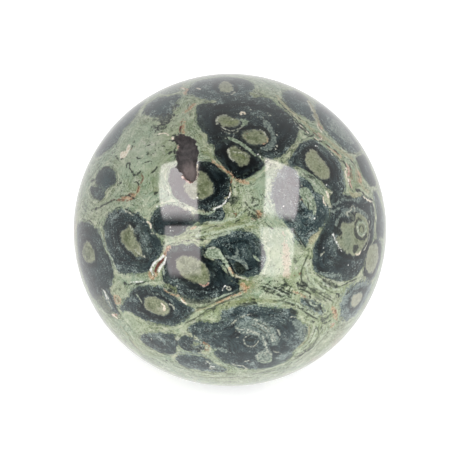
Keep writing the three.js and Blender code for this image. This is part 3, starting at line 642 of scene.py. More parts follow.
        0.16: [[(-7.4, 0.2), (-6.4, 0.6)]],
        0.17: [[(-2.6, -13.9), (-1.4, -13.4), (0.4, -12.6), (1.6, -12.2), (3.2, -11.5)]],
        0.18: [[(-3.3, 13.1), (-2.4, 12.4), (-1.6, 11.9), (-0.8, 11.2), (0.2, 10.6), (0.6, 10)],
            [(-22, -12.9), (-21.4, -12.6), (-20.9, -13.2), (-21.2, -13.9), (-21.8, -13.8), (-22, -13.1)]],
        0.22: [[(-9.4, 27.2), (-8.7, 27), (-8.6, 26.3), (-8.4, 25.9)],
            [(18.6, 15.9), (19.5, 15.2), (20.3, 14.6), (21.2, 14)]],
        0.24: [[(-14.1, -8), (-13.9, -8.8)]],
        0.26: [[(19.2, -18.5), (19.7, -18.2)]],
        0.28: [[(1, 9.6), (2.2, 9.2), (3.4, 8.9)], [(-20.6, 6.1), (-18.8, 6.2), (-17.8, 6.9), (-17.3, 8.2)],
            [(0, -7.3), (0.4, -8.1)]],
        0.3: [[(-8.9, 18.6), (-8.9, 19.6), (-8.7, 20.6)], [(-11.6, -3.2), (-12.1, -4.2), (-12.6, -5)],
            [(-15.2, -8), (-15.1, -8.8), (-14.6, -9.3)]],
        0.35: [[(-8.4, 22.6), (-7.4, 23.4), (-7, 24)]],
        0.36: [[(19.6, -14.8), (20, -15.6), (20.4, -16.6)]],
        0.4: [[(5.3, 3.5), (5.7, 2.9)], [(2.4, -10.4), (3.2, -11)]],
        0.45: [[(24.6, 10.9), (24.9, 10.1), (24.8, 9.3)]],
    },
    "pink": {
        0.12: [[(-5.9, -10.2), (-5.2, -10.5), (-4.4, -10.4), (-4.1, -10)]],
        0.14: [[(-10.1, 16.1), (-10, 15.5)]],
        0.16: [[(19.3, -17.9), (19.8, -17.9)]],
        0.18: [[(16.8, 18.4), (17.4, 17.7), (17.9, 17.2)]],
        0.2: [[(-9.1, 10.2), (-8.5, 9.6), (-7.9, 9.2), (-7.2, 9), (-6.7, 9.6), (-6.4, 10.5), (-6.3, 11.4)],
            [(16.8, 20.6), (17.1, 19.9), (17.6, 19.2)], [(-22.4, -16.3), (-21.7, -16.1)]],
        0.25: [[(22.9, 9.6), (23, 8.7), (23.3, 7.9)]],
        0.3: [[(22.3, 12.4), (22.6, 11.4), (22.5, 10.4)]],
    },
    "tan": {
        0.08: [[(-0.8, 6), (0.1, 7.2), (0.1, 8.2)]],
        0.12: [[(-4.4, -15.1), (-2.8, -14.3), (-1, -13.5), (0.8, -12.7)]],
        0.16: [[(-20.9, -18.3), (-19.7, -19.9), (-18.5, -21.5), (-17.5, -22.7), (-16.4, -23.6)]],
        0.2: [[(-6.4, -15.4), (-4.6, -14.8), (-2.8, -14.1)], [(0.9, -8.5), (2, -9.1), (3.4, -9.7)],
            [(15.2, -18.4), (15, -19.8), (14.2, -21.4), (13.2, -22.3)]],
        0.35: [[(9, 25.6), (10, 24.2), (11.3, 22.9), (12.8, 21.6), (14.4, 20.2), (16, 18.9)]],
        0.4: [[(23.9, 12.2), (24.4, 10), (25.4, 8.2), (26.4, 7.4)]],
        0.5: [[(15, 24.6), (15.9, 22.8), (16.6, 21.2), (17.4, 19.6)],
            [(17.4, 18.2), (18.8, 17), (20.4, 15.7), (22.2, 14.4), (23.4, 13.6)]],
    },
    "white": {
        0.06: [[(-1.5, -11.4), (-1.2, -10.9), (-0.9, -10.6)]],
        0.07: [[(-3.3, 3.8), (-2.4, 4.3), (-1.5, 4.7), (-1, 5.1), (-0.7, 5.7), (-0.2, 6.3), (0, 7.2)]],
        0.09: [[(-18.9, -9.9), (-17.8, -9.9), (-16.6, -9.8)]],
        0.1: [[(-3.7, -26), (-3, -26.1)], [(19.7, -0.8), (20, -1.9), (20.6, -2.9), (21.2, -4)]],
        0.12: [[(-24.1, -11.5), (-23.7, -12.5), (-23.5, -13.3)], [(-23.6, -12.3), (-23.2, -13.1)]],
        0.14: [[(-14.4, -6.3), (-14.6, -6.2)]],
        0.16: [[(-15, -7.8), (-14.6, -8.4)]],
        0.2: [[(-12.7, -4.9), (-13.3, -5.5), (-14.1, -6), (-14.7, -6.8), (-15.1, -7.6)],
            [(-12.2, -5.2), (-12.5, -6.1), (-13.1, -6.9), (-13.5, -7.8)]],
    },
    "sage": {
        0.13: [[(-7.2, 3.7), (-6.2, 3.3), (-5, 3.1), (-3.8, 3.2), (-3, 3.6)]],
        0.2: [[(-25, 0.4), (-24.6, -0.8), (-24.1, -2.2), (-23.6, -3.4), (-23, -4.6)]],
        0.22: [[(-4.4, -23.9), (-3.3, -24.5), (-2, -25.2), (-0.4, -26), (1, -26.5)]],
        0.24: [[(-3.6, -23.9), (-3.2, -23), (-2.8, -22.8)]],
        0.3: [[(24.3, 0.9), (24.5, 1.4), (25.2, 1.6), (25.9, 0.9), (25.9, -0.2), (25.3, -0.9), (24.6, -0.6),
            (24.3, 0.2)]],
        0.34: [[(-9.5, -22.7), (-8.3, -23.3), (-7, -23.6), (-5.8, -23.9)]],
    },
    "mint": {
        0.1: [[(-12.8, -6.9), (-12.6, -7.6), (-12.5, -8.3)],
            [(-17.6, -12.5), (-17.1, -13.3), (-16.7, -13.9)],
            [(8.2, -10.3), (9.2, -10.8), (10.4, -11.5), (11.6, -12.2)]],
        0.12: [[(-20.2, -18.2), (-19, -19.8), (-17.8, -21.4), (-16.6, -22.6)],
            [(-5.6, -15.6), (-4, -14.9), (-2.2, -14.1)],
            [(6.4, -10.5), (8, -11), (9.2, -11.7), (10.4, -12.2)]],
        0.14: [[(-23, -4.6), (-22.4, -5.8), (-22, -6.8), (-21.4, -7.8)],
            [(-2.8, -13.1), (-1.2, -12.5), (0.4, -12)],
            [(17, -9.4), (18.4, -10.5), (20, -11.3), (21.4, -11.2)],
            [(14.4, -6.4), (14.9, -8.4), (16, -10.2), (18, -11.6)],
            [(15.2, -13.8), (15.8, -14.3), (16.5, -14.5)],
            [(18.6, -18.6), (17.6, -20.4), (16.2, -22.2), (14.4, -23.9), (12, -25.3)]],
        0.16: [[(-4.4, -1.6), (-2, -1.1), (0, -0.4)],
            [(16.6, -18.2), (16.2, -19.8), (15.6, -21.2), (14.2, -22.4), (12.6, -23.4)],
            [(-12, -25.6), (-8, -27), (-4, -27.6), (0, -27.9), (4, -27.7)]],
        0.18: [[(-3.8, 1.4), (-1.2, 1.6), (0.6, 2.2), (2.6, 3.6)]],
        0.2: [[(-6.4, -1.2), (-4, -0.7), (-1, 0), (2, 0.7), (4, 1.2)],
            [(10.4, -13.5), (12.4, -14), (14.6, -15.2), (16.8, -16.6)]],
        0.24: [[(-1.9, -4.4), (-1.2, -5.4), (-0.5, -6.7), (0.2, -7.8)]],
    },
    "blush": {
        0.2: [[(10, -0.4), (10.4, -1.4), (10.3, -2.4)]],
        0.6: [[(10.5, -3), (10.6, -5), (10.8, -7), (10.8, -8.6)]],
    },
    "haze": {
        0.16: [[(-25, 0.2), (-24.4, -1.4), (-23.9, -2.8), (-23.2, -4.4), (-22.6, -6), (-22.2, -7.4)]],
        0.3: [[(-9.4, -23.4), (-7.8, -23.5), (-6.2, -23.6), (-4.9, -23.8)],
            [(20.2, 1), (20.7, 2.2), (21.4, 2.9)], [(17.2, -8.2), (19, -8.6), (20.8, -8.6)]],
        0.4: [[(21.8, 3.2), (22.8, 3.8), (24, 3.9), (25.2, 3.4), (26.2, 2.4)]],
        0.5: [[(12.2, -17.5), (12.9, -18.7), (13.5, -19.9), (13.8, -20.8)]],
    },
    "line": {
        0.06: [[(10.4, -12.9), (12.1, -13.4), (13.9, -14.5), (15.6, -15.8)],
            [(18.8, -19.4), (16.9, -21.6), (14.7, -23.7), (12.4, -25.3)],
            [(15.2, -18), (15.3, -19.4), (14.9, -20.6), (14, -21.7)], [(-4.4, 0.4), (-3, 0.7), (-1.4, 0.8)],
            [(-6.2, 0.9), (-5.2, 1.1), (-4.2, 1.1)], [(1.6, 4), (2.2, 4.3)],
            [(0.8, 1.2), (2, 1.4), (3, 1.3)]],
        0.07: [[(-9.6, -17.2), (-8.4, -16.6), (-7.2, -15.8), (-6, -15.2)],
            [(-6, -16.9), (-4.8, -16), (-3, -15)], [(16, -9.2), (16.9, -10.2), (18.4, -11.3), (20, -12.1)],
            [(-24.6, 4.4), (-23.6, 5), (-22.6, 5.5), (-21.6, 5.7)],
            [(-7.4, -21.9), (-7, -22.6), (-6.4, -22.9), (-5.7, -22.6)]],
        0.08: [[(16.2, -12.4), (17.2, -12.8), (18.2, -13.6)], [(17.6, -12.6), (18.8, -13.2), (19.8, -13.8)],
            [(16.8, -16.6), (17.8, -16.2), (18.8, -16.9)]],
        0.1: [[(16.4, -18.4), (16.9, -19.7), (16.4, -21), (15.6, -22.3), (14.3, -23.4), (12.6, -24.6)],
            [(4.9, 2.6), (5.2, 2.2)], [(5.8, 3.5), (6.2, 3.3)]],
        0.12: [[(8.3, -13.5), (10, -13.5), (11.7, -14), (13.4, -15), (14.9, -16), (16.2, -16.7)],
            [(5, 3.4), (5.4, 3)], [(5.5, 2.7), (5.9, 2.4)]],
        0.13: [[(14.7, -4.9), (14.3, -5.9), (13.9, -6.9), (13.6, -7.8), (13.55, -8.8), (13.6, -9.6),
            (14.7, -10.7), (16.2, -11.7), (17.9, -12.6), (19.4, -13.5)],
            [(16.5, -8.4), (17.3, -9.1), (18.3, -9.7), (19.5, -10.3), (20.6, -10.8), (21.8, -10.4),
            (22.9, -9.8), (24.2, -9.3)]],
        0.14: [[(-8.6, -17.8), (-7.6, -17.3), (-6.8, -16.9), (-5.3, -16), (-3.4, -14.8), (-1.4, -13.8),
            (0.5, -13.1), (2.2, -12.5)]],
        0.15: [[(-6.3, -14.8), (-5, -14.7), (-3.8, -14.1), (-2.4, -13.5), (-1.2, -12.9), (0.1, -12.3),
            (1.3, -11.8), (2.3, -11.5)]],
        0.16: [[(2.9, 5.2), (3.3, 4.7)], [(3.2, 3.9), (2.6, 3.5)], [(4.2, 5.2), (4.4, 5.8)],
            [(4.6, 4.5), (5.3, 4.8)], [(4.4, 3.9), (5, 3.4)], [(3.7, 3.4), (3.5, 2.8)]],
    },
}

# Small spots by kind: right, up and radius of each
SPOTS = {
    "white": [
        (-0.1, 21.6, 0.1), (0.5, 21, 0.1), (5.3, 14.4, 0.14), (5.7, 13.9, 0.14), (18.4, 8.6, 0.14),
        (16.1, 2.2, 0.14), (10.1, 4.5, 0.16), (9.3, 6.5, 0.1), (17.8, -3.4, 0.1), (22.5, -6.7, 0.12),
        (24.8, -6.3, 0.1), (-11.3, 0.5, 0.12), (-11.4, -0.2, 0.08), (-10.7, -0.3, 0.08), (-13.8, 4.5, 0.14),
        (12.5, 0.6, 0.08), (15.2, -0.7, 0.08), (19.5, -0.9, 0.1), (-6.2, 6.1, 0.1), (16.3, 16.1, 0.12),
        (16.6, 16, 0.1), (-4.6, -25.4, 0.1), (-3.9, -25.6, 0.1), (14.4, -23.4, 0.1),
    ],
    "pale": [
        (4, 22.9, 0.2), (4.6, 22.7, 0.14), (7.1, 22.3, 0.13), (7.6, 21.8, 0.16), (5.2, 21.5, 0.13),
        (6.4, 21.4, 0.16), (3.9, 21.7, 0.12), (0.9, 22.3, 0.12), (1.3, 22.2, 0.1), (8.9, 18.1, 0.12),
        (9.4, 16.8, 0.1), (9.2, 20, 0.11), (8.9, 16, 0.18), (8.6, 15.4, 0.16), (1.9, 15.5, 0.1),
        (2.3, 15.2, 0.1), (-15, -20.8, 0.16), (-14, -20.6, 0.12), (-12, -20.5, 0.14), (-13.2, -20.8, 0.12),
        (-16.4, 1.5, 0.16), (-11.8, -10.4, 0.14), (-10.1, -10.6, 0.2), (-14.9, 16.7, 0.14),
        (-14.2, 16.6, 0.1), (-3.7, -26.5, 0.22), (12.7, -7.2, 0.3), (13.6, 8.4, 0.14), (13.3, 5.6, 0.16),
        (15.2, 2.4, 0.1), (1.4, -20.4, 0.12), (1.2, -19.2, 0.14),
    ],
    "ink": [
        (-21.85, 15.35, 0.14), (-21.6, 15.9, 0.12), (-22.4, 14.7, 0.14), (-19.9, 10.15, 0.13),
        (-17.3, 9.35, 0.12), (-12.5, 19, 0.12), (-8.9, 22.8, 0.1), (5.9, 18.4, 0.22), (-23.9, 3.3, 0.14),
        (-25.7, 2.1, 0.12), (-15.8, -9.8, 0.14), (-18.9, -18.9, 0.14), (-15.3, -18, 0.14),
        (-12.1, -24.9, 0.2), (-20.8, 9, 0.1), (-21.4, 9.5, 0.1), (-21.8, 9.2, 0.1), (-6, 6.8, 0.2),
        (2.4, 8.4, 0.1), (0.5, 3.9, 0.08), (1.3, 4.2, 0.08), (9.2, 1, 0.1), (15.2, -12.6, 0.2),
        (18.2, -10.2, 0.2), (19.2, -10.8, 0.18), (2.1, -4.8, 0.14), (-0.7, -5.5, 0.16),
    ],
    "rust": [
        (-18.2, 15.9, 0.14), (-18.8, 15.5, 0.12), (-9.2, -8.7, 0.1), (5.4, 2.4, 0.12), (3.2, 18.3, 0.14),
        (2.8, 17.6, 0.14), (25, 10, 0.12), (10.3, -2.9, 0.12), (-22, -13.6, 0.12),
    ],
}

# Soft patches by kind: right, up, half length, half width, tilt in degrees, strength
PATCHES = {
    "cool": [
        (-23.8, 9.2, 2.2, 2.6, 0, 1), (-25.6, -5.6, 3, 5, 0, 0.4), (26.1, 10.4, 2, 4, 0, 0.7),
        (-1.1, 26.8, 5.6, 2.2, 0, 1), (-12.7, 23.5, 3, 2.6, 0, 1), (-21.1, 19.1, 2.4, 5, -45, 1),
        (13.5, 23.7, 2.4, 3, 30, 1), (20.4, 19.1, 2.4, 5, 45, 1),
    ],
    # Calm patches: some are calm stone; those where the softboxes mirror flatten and darken the pattern
    # there, a painted wash-out from the reflections
    "calm_and_reflection_damped": [
        (9.8, 6, 2.6, 4.6, 0, 0.8), (-10.2, 5.8, 2.6, 3.4, 0, 0.5), (-1.1, -8.2, 1, 1, 0, 0.9),
        (-16.6, -6.4, 2.4, 1.6, 0, 0.4), (3.6, -6.4, 1.8, 1.6, 0, 0.5), (10.6, 5.6, 2.2, 4, 0, 0.9),
        (-10.4, 5.6, 2.4, 3, 0, 0.8), (-10.3, -17.3, 1.6, 1.2, 0, 0.8), (-14.5, -1.2, 1.1, 1.6, 0, 0.9),
        (10.4, 19.4, 1.6, 2.2, 0, 0.8), (-14.2, 23.6, 2.6, 1.8, 0, 1), (17.6, 2, 1.6, 2.8, 0, 0.8),
        (19.8, 5.6, 1.6, 1.2, 0, 0.9), (-1.3, 17.1, 1.4, 0.9, 0, 1), (2, 12.8, 4, 4, 0, 0.8),
        (-2.6, 20.2, 2.4, 4, 0, 0.9), (-1.6, 12, 1.4, 3.4, 0, 1), (0, -20.6, 3.4, 3, 0, 0.7),
        (10.8, -18.2, 2.8, 2.2, 0, 0.6), (1.8, -23.8, 4, 1.6, 0, 0.5), (9.6, -4.6, 2.6, 5, 0, 0.9),
        (-11.6, 10, 2, 3.2, 0, 0.8), (6.4, 9, 1.4, 4, 0, 0.8), (-9, -1.2, 4, 1.2, 0, 0.7),
        (11, 5, 2.4, 5, 0, 1), (-9, -5.5, 3, 2.6, 0, 0.8), (-9.6, 7.6, 2.2, 2.6, 0, 0.8),
        (-10, 1.6, 3.4, 2.4, 0, 0.6), (24.4, 1.8, 3, 2.4, 0, 0.4),
    ],
    "leaf": [
        (-14.9, -21.9, 1.6, 1, 0, 0.7), (-10.3, 24.1, 1.8, 1.4, 0, 0.8), (-17.2, 21.8, 1.8, 1.6, 0, 0.6),
        (-17.6, -1.4, 0.8, 1.4, 0, 0.5), (3.4, 6.2, 2, 1.4, 0, 0.6), (22.4, -1.6, 1.8, 3, 0, 0.9),
        (-14.9, -22.2, 1.6, 1, 0, 0.7), (-17.2, 21.8, 1.6, 1.4, 0, 0.6), (-10.3, 24.3, 1.6, 1.2, 0, 0.8),
        (15, -15, 2, 1.2, 0, 0.7), (15, -10.4, 1.6, 1.2, 0, 0.7), (8.1, 24.2, 1.6, 1, 0, 0.7),
        (-17.4, 12, 2.8, 2.6, 0, 1), (-16, 9.6, 2, 2, 0, 0.8), (-17.6, 17.2, 5.4, 4.2, 45, 0.9),
        (-19.6, 11.6, 4, 2.4, 20, 0.8), (-13.6, 13.6, 3, 3.4, 0, 0.6), (-8.6, 22, 1.6, 3, 0, 0.6),
        (3.6, 7.6, 2.6, 2.2, 0, 0.5), (12.6, -4.8, 1.6, 3, 0, 0.5), (-19.2, -17, 3.4, 2, -40, 0.6),
        (16.4, -8.4, 2, 1.2, -40, 0.5),
    ],
    "chalk": [
        (3.5, 5.9, 1.6, 1.6, 0, 0.5), (-14.9, -22, 1.6, 1, 0, 0.6), (-17.2, 21.8, 1.6, 1.2, 0, 0.4),
        (15, -15, 1.8, 1.2, 0, 0.5), (15, -10.4, 1.6, 1.2, 0, 0.4), (15.2, -13.8, 2.6, 1.4, -30, 0.5),
        (9, -4.2, 3.6, 4.6, 0, 0.35), (-13.1, -15, 0.9, 0.7, -40, 0.8), (-17.6, -3.2, 0.7, 1.4, 20, 0.7),
        (-18, 15, 3.4, 3, 30, 0.6), (16.6, 13.4, 1, 0.8, 0, 0.4), (13, -3.9, 1.1, 1.3, 0, 0.7),
        (12.6, -7.1, 0.8, 0.6, 0, 0.8), (5.9, 8.6, 1.2, 2, 0, 0.25), (-9, 21, 1, 2.4, 0, 0.35),
        (-24, 4, 3, 1.6, 15, 0.4), (-19.8, 12.6, 2.4, 2, 30, 0.4), (-19.2, -16.6, 2.4, 1, -30, 0.3),
        (7, 27, 2.8, 1.3, -10, 0.4), (-8.4, -19.2, 1.3, 1.2, 0, 0.4), (19.4, -13.4, 2.4, 0.8, -30, 0.4),
        # The patch at -8, 11.2 also paints the hollow's foot paler: painted light on its lower wall
        (-14.2, 16.4, 2.6, 3.4, 0, 0.5), (-8, 11.2, 1.8, 2.4, 0, 1), (14.8, -7.5, 0.8, 2, 0, 0.5),
    ],
    "mist": [
        (21.4, 18.9, 1, 1.8, 45, 0.7), (8.1, 24.1, 1.6, 1, 0, 0.6), (-3.2, -19.6, 1.4, 1, 0, 0.5),
        (5.6, -17.4, 1.6, 0.8, 0, 0.6), (10.2, 8, 1.6, 1.4, 0, 0.6), (19.6, -5.8, 1.2, 1.2, 0, 0.5),
        (-17.2, -5.8, 1.2, 1, 0, 0.5), (-1.1, -17.2, 1.6, 1, 0, 0.7), (-10.3, -3.5, 1.6, 0.7, 0, 0.6),
        (10.4, 3, 1.8, 2.6, 0, 0.8), (10.4, 5.5, 2, 3.6, 0, 0.45), (-3.4, -8.2, 0.8, 1.2, 0, 0.5),
        (-8, -10.6, 1.4, 0.9, 0, 0.5), (-1.2, -21.8, 1.4, 1.2, 0, 0.5), (5.6, -19.6, 2, 1, 0, 0.9),
        (10.6, -17.4, 1.4, 1, 0, 0.5), (1.3, 19.6, 1, 0.9, 0, 0.8), (1.6, 21.2, 2, 1.4, 0, 0.7),
        (-24.6, 7.6, 1.6, 1, -30, 0.8), (5.4, 22.3, 2.4, 1.2, -6, 0.9), (-5.4, -19, 1.4, 0.9, 0, 0.3),
        (3.6, -17.4, 2.6, 0.9, -10, 0.9), (6.4, -18.6, 3, 1.6, -42, 0.8), (-13.6, -20.7, 2.6, 0.8, -4, 0.9),
        (-9.6, -10.4, 2.6, 1.1, -20, 0.7), (-5, -13.4, 2.4, 0.6, 8, 0.3), (13, 1, 0.8, 1.6, 20, 0.6),
        (14, -1.6, 1.2, 0.9, 0, 0.7), (22.4, 2.6, 1.4, 1.2, 0, 0.8), (19.9, -2.4, 1.2, 1.8, 0, 1.1),
        (13, -19.8, 1.4, 1, -50, 1.2), (10.2, -24.2, 1.8, 1.2, 20, 1.4), (19.6, -8.8, 2, 0.6, -16, 0.7),
        (18, 14.4, 1.6, 0.7, -45, 0.5), (-16.4, -2.6, 1.2, 2.4, 20, 1), (-17.4, 0, 1.2, 1, 0, 0.6),
        (4, -4.2, 1.6, 1.6, 0, 0.4), (13.4, 13.6, 0.9, 1.8, 10, 0.5), (6.2, -16.9, 3.2, 0.5, -8, 0.5),
        (-1, 26, 3, 0.8, 0, 0.5), (16, 22.6, 0.8, 1.2, 0, 0.6), (20.6, 18.6, 0.9, 2.2, 38, 0.6),
        (-25.2, -3.4, 0.8, 3.4, 10, 0.4),
    ],
    "inky": [
        (-5.7, -1.2, 1.8, 0.9, 0, 0.6), (8.1, 12.6, 1.5, 1.3, 0, 0.5), (19.6, 5.7, 1.4, 1.4, 0, 0.8),
        (-3.4, 3.4, 1.4, 1, 0, 0.6), (8.4, -11.3, 3.6, 0.9, -16, 0.9), (15.6, -14.5, 2.2, 1.2, -35, 0.25),
        (18.4, -10.4, 1.4, 0.7, -30, 0.8), (18, -16.9, 1, 0.6, 0, 0.9), (4.3, -13.7, 1.1, 0.45, 10, 1),
        (4.6, 2.5, 0.9, 0.9, -40, 0.8), (0.7, 5.6, 0.8, 0.8, 0, 0.9), (-21.4, 9.2, 1.2, 0.9, 20, 0.7),
        (-13.4, 19.4, 1.8, 0.9, -10, 0.6), (-10.4, 23.2, 1, 0.5, 0, 0.7), (-10.6, -11, 1.6, 0.9, -30, 0.8),
        (-5, -13.7, 2.4, 0.6, 8, 0.8), (-23, -14.6, 1.2, 2.4, 20, 0.8), (14.2, -23.2, 2.4, 0.8, 32, 0.7),
        (-2.6, -26.4, 1.8, 0.5, -12, 0.8), (1.4, 9, 1.4, 0.5, 0, 0.5), (14.2, -11, 1.6, 1, -30, 0.4),
        (10.6, -10.6, 1.6, 0.6, -16, 0.8), (6.6, 5.4, 0.8, 1.4, 0, 0.4), (2.6, 4.6, 1.4, 1.4, 0, 0.4),
        (-12.1, 20.8, 1.6, 0.9, 45, 1.4), (-10.6, 23.4, 1.6, 0.9, 60, 1.2), (20.4, -12.8, 1, 1, 0, 0.5),
        (17, -18.6, 2, 0.8, 20, 0.5), (-26.4, 7, 1, 2.6, 0, 0.5), (-2, -14.6, 3, 0.6, 16, 0.5),
    ],
    "olive": [
        (-5.7, -1.2, 1.8, 1, 0, 0.8), (8.1, 12.8, 1.6, 1.2, 0, 0.8), (-12.2, 12.4, 1.6, 3, 0, 0.9),
        (8.2, 12.4, 1.8, 1.8, 0, 0.8), (-6.6, -1.1, 4.2, 1.1, 6, 1), (3.4, -10.4, 2, 1.3, 0, 1),
        (-4.4, 15.2, 1.2, 1.6, 20, 0.8), (-5.2, 17.4, 1.3, 1.6, 0, 0.9), (2.4, 1.2, 3.2, 1.3, 4, 1),
        (-5, -0.4, 3.4, 1.3, 10, 0.7), (1.6, 3, 1.2, 0.8, 20, 0.6), (2, -13.6, 4.2, 0.7, 4, 0.9),
        (8, -13.6, 2.6, 0.5, -4, 0.7), (-3, -14.9, 4, 0.7, 14, 0.8), (15.4, 6.2, 1, 2, 20, 0.4),
        (-19, 8, 2.4, 1.4, 20, 0.5), (-14.6, 9.4, 1, 3, 0, 0.5), (4.4, 11, 1.6, 0.6, 30, 0.6),
        (-17.2, -19.2, 1.8, 1, 20, 0.2),
    ],
    "ashen": [
        (12.7, -24.2, 1.8, 1, 20, 0.8), (-8, -27.6, 5, 1.2, -16, 0.7), (2, -28.8, 6, 1, 0, 0.7),
        (11, -26.8, 5, 1.2, 22, 0.7), (26.6, 4, 1.2, 5, 0, 0.8), (-8.4, 3.8, 2.6, 0.9, -20, 0.9),
        (22.6, -16.4, 7, 2.4, 52, 0.9), (14.6, -24, 7, 2.2, 31, 0.9), (4, -27.6, 8, 1.8, 8, 0.8),
        (-9, -26.6, 5, 1.4, -18, 0.6),
    ],
    "warm": [
        (3.4, -11, 1.7, 0.9, 25, 0.9), (24.5, 10.2, 0.8, 2, -8, 0.7), (22.9, 10.6, 0.5, 2.4, 0, 0.7),
        (-7.9, 23.1, 0.9, 0.7, 0, 0.6), (-19.6, 6.2, 2.4, 0.6, 8, 0.7), (-14.8, -8.7, 0.6, 0.9, 0, 0.8),
        (20.6, 14.4, 1.8, 0.4, -38, 0.6), (5.5, 2.9, 0.9, 0.7, 0, 0.7), (-21.5, -13.5, 0.7, 0.9, 0, 0.8),
        (19.9, -15.7, 0.6, 1.3, 10, 0.7), (-4.5, -22.6, 0.6, 1, 20, 0.7), (17.3, 19.6, 0.7, 1, 20, 0.5),
        (-9.2, 20, 0.5, 1.4, 0, 0.6), (-21.8, -16.2, 1, 0.6, 0, 0.5),
    ],
}

# From the disc to the ball: lengths in mm, and places as directions from the ball's centre
rng = random.Random(7)
BALL = RADIUS * 1000
right_axis = np.array(disc_right)
up_axis = np.array(disc_up)
camera_axis = np.array(to_camera)


def unit_rows(rows):
    """Each row at length one."""
    return rows / np.linalg.norm(rows, axis=1, keepdims=True)


def on_ball(places):
    """Directions from the ball's centre to places read on the photographed disc."""
    places = np.array(places, float)
    forward = np.sqrt(np.maximum(BALL**2 - (places**2).sum(1), 0))
    return unit_rows(places[:, :1] * right_axis + places[:, 1:] * up_axis + forward[:, None] * camera_axis)


def middle_of(line):
    """The direction of a line's middle."""
    return line.mean(0) / np.linalg.norm(line.mean(0))


def any_direction():
    """A random direction."""
    found = np.array([rng.gauss(0, 1) for axis in range(3)])
    return found / np.linalg.norm(found)


def plane_at(middle):
    """Two directions across the ball at a place."""
    helper = np.array([0, 0, 1.0]) if abs(middle[2]) < 0.9 else np.array([1.0, 0, 0])
    first = np.cross(helper, middle)
    first /= np.linalg.norm(first)
    return first, np.cross(middle, first)


def laid_flat(directions, middle):
    """Places on the ball as mm across it, flattened round the middle."""
    first, second = plane_at(middle)
    along = np.clip(directions @ middle, -1, 1)
    across = directions - along[:, None] * middle
    length = np.maximum(np.linalg.norm(across, axis=1), 1e-9)
    scale = np.arccos(along) * BALL / length
    return np.stack([across @ first * scale, across @ second * scale], 1)


def curved(points, closed, steps):
    """A smooth line through the points, with so many steps from each point to the next."""
    if closed:
        before, start, end, after = (np.roll(points, k, 0) for k in (1, 0, -1, -2))
    else:
        first = 2 * points[:1] - points[1:2]
        last = 2 * points[-1:] - points[-2:-1]
        padded = np.concatenate([first, points, last])
        before, start, end, after = padded[:-3], padded[1:-2], padded[2:-1], padded[3:]
    t = (np.arange(steps) / steps)[None, :, None]
    b, s, e, a = (x[:, None, :] for x in (before, start, end, after))
    line = 2 * s + (e - b) * t + (2 * b - 5 * s + 4 * e - a) * t**2 + (3 * s - b - 3 * e + a) * t**3
    line = (0.5 * line).reshape(-1, points.shape[1])
    return line if closed else np.concatenate([line, points[-1:]])


AT_ONCE = 4000  # places measured together, which bounds the memory used


def distance_to(places, starts, ends):
    """Distance in mm of each place from the nearest piece of a line."""
    best = np.empty(len(places))
    run = ends - starts
    size = np.maximum((run**2).sum(1), 1e-12)
    for part in range(0, len(places), AT_ONCE):
        offset = places[part:part + AT_ONCE, None, :] - starts[None]
        t = np.clip((offset * run).sum(2) / size, 0, 1)
        gap = offset - t[:, :, None] * run
        best[part:part + AT_ONCE] = np.sqrt((gap**2).sum(2).min(1))
    return best


def within(places, outline):
    """Whether each place lies inside a closed outline."""
    inside = np.zeros(len(places), bool)
    x, y = places[:, 0], places[:, 1]
    for (x1, y1), (x2, y2) in zip(outline, np.roll(outline, -1, 0)):
        if y1 == y2:
            continue
        crosses = (y1 > y) != (y2 > y)
        inside ^= crosses & (x < x1 + (y - y1) * (x2 - x1) / (y2 - y1))
    return inside


REACH = 5.0  # mm from an outline or a line within which distances are measured


def depth_inside(directions, outline, steps=6):
    """How far inside a closed outline each direction is, in mm, negative outside, and -REACH far off."""
    middle = outline.sum(0)
    middle /= np.linalg.norm(middle)
    line = curved(laid_flat(outline, middle), closed=True, steps=steps)
    reach = np.linalg.norm(line, axis=1).max() + REACH
    near = np.nonzero(directions @ middle > math.cos(min(reach / BALL, 3.0)))[0]
    places = laid_flat(directions[near], middle)
    found = np.full(len(directions), -REACH)
    gap = distance_to(places, line, np.roll(line, -1, 0))
    found[near] = np.where(within(places, line), gap, np.maximum(-gap, -REACH))
    return found


# Eyes of the sides, the back and the foot, which no photo shows: the same kind, scattered by seed.
# An even grid of places on the ball says where there is room.
GRID_SIZE = 16000
EYE_SIZES = [7.8] * 5 + [6.6] * 7 + [5.4] * 10 + [4.2] * 14 + [3.2] * 20 + [2.3] * 30  # radii in mm
TRIES = 60
OUTLINE_POINTS = 22
EYE_GAP = 0.35  # mm
SMALLEST_WITH_CORE = 2.9  # mm
SHARE_WITH_CORE = 0.8
photographed_to = math.radians(86)  # from the camera's axis
grid_step = np.arange(GRID_SIZE)
grid_z = 1 - (2 * grid_step + 1) / GRID_SIZE
grid_turn = grid_step * math.pi * (3 - math.sqrt(5))
grid_round = np.sqrt(1 - grid_z**2)
grid = np.stack([grid_round * np.cos(grid_turn), grid_round * np.sin(grid_turn), grid_z], 1)


def lobed_outline(middle, size):
    """A rounded, uneven outline round a place."""
    first, second = plane_at(middle)
    stretch = rng.uniform(1.0, 1.45)
    lobes = [(k, rng.uniform(0.03, 0.11) / math.sqrt(k - 1), rng.uniform(0, 6.28)) for k in (2, 3, 4, 5)]
    swing = rng.uniform(0, 6.28)
    outline = []
    for step in range(OUTLINE_POINTS):
        turn = step / OUTLINE_POINTS * 2 * math.pi
        far = size * (1 + sum(much * math.cos(k * turn + shift) for k, much, shift in lobes))
        x, y = far * math.cos(turn) * stretch, far * math.sin(turn) / stretch
        x, y = x * math.cos(swing) - y * math.sin(swing), x * math.sin(swing) + y * math.cos(swing)
        arc = math.hypot(x, y) / BALL
        spoke = (first * x + second * y) / math.hypot(x, y)
        outline.append(middle * math.cos(arc) + spoke * math.sin(arc))
    return np.array(outline)


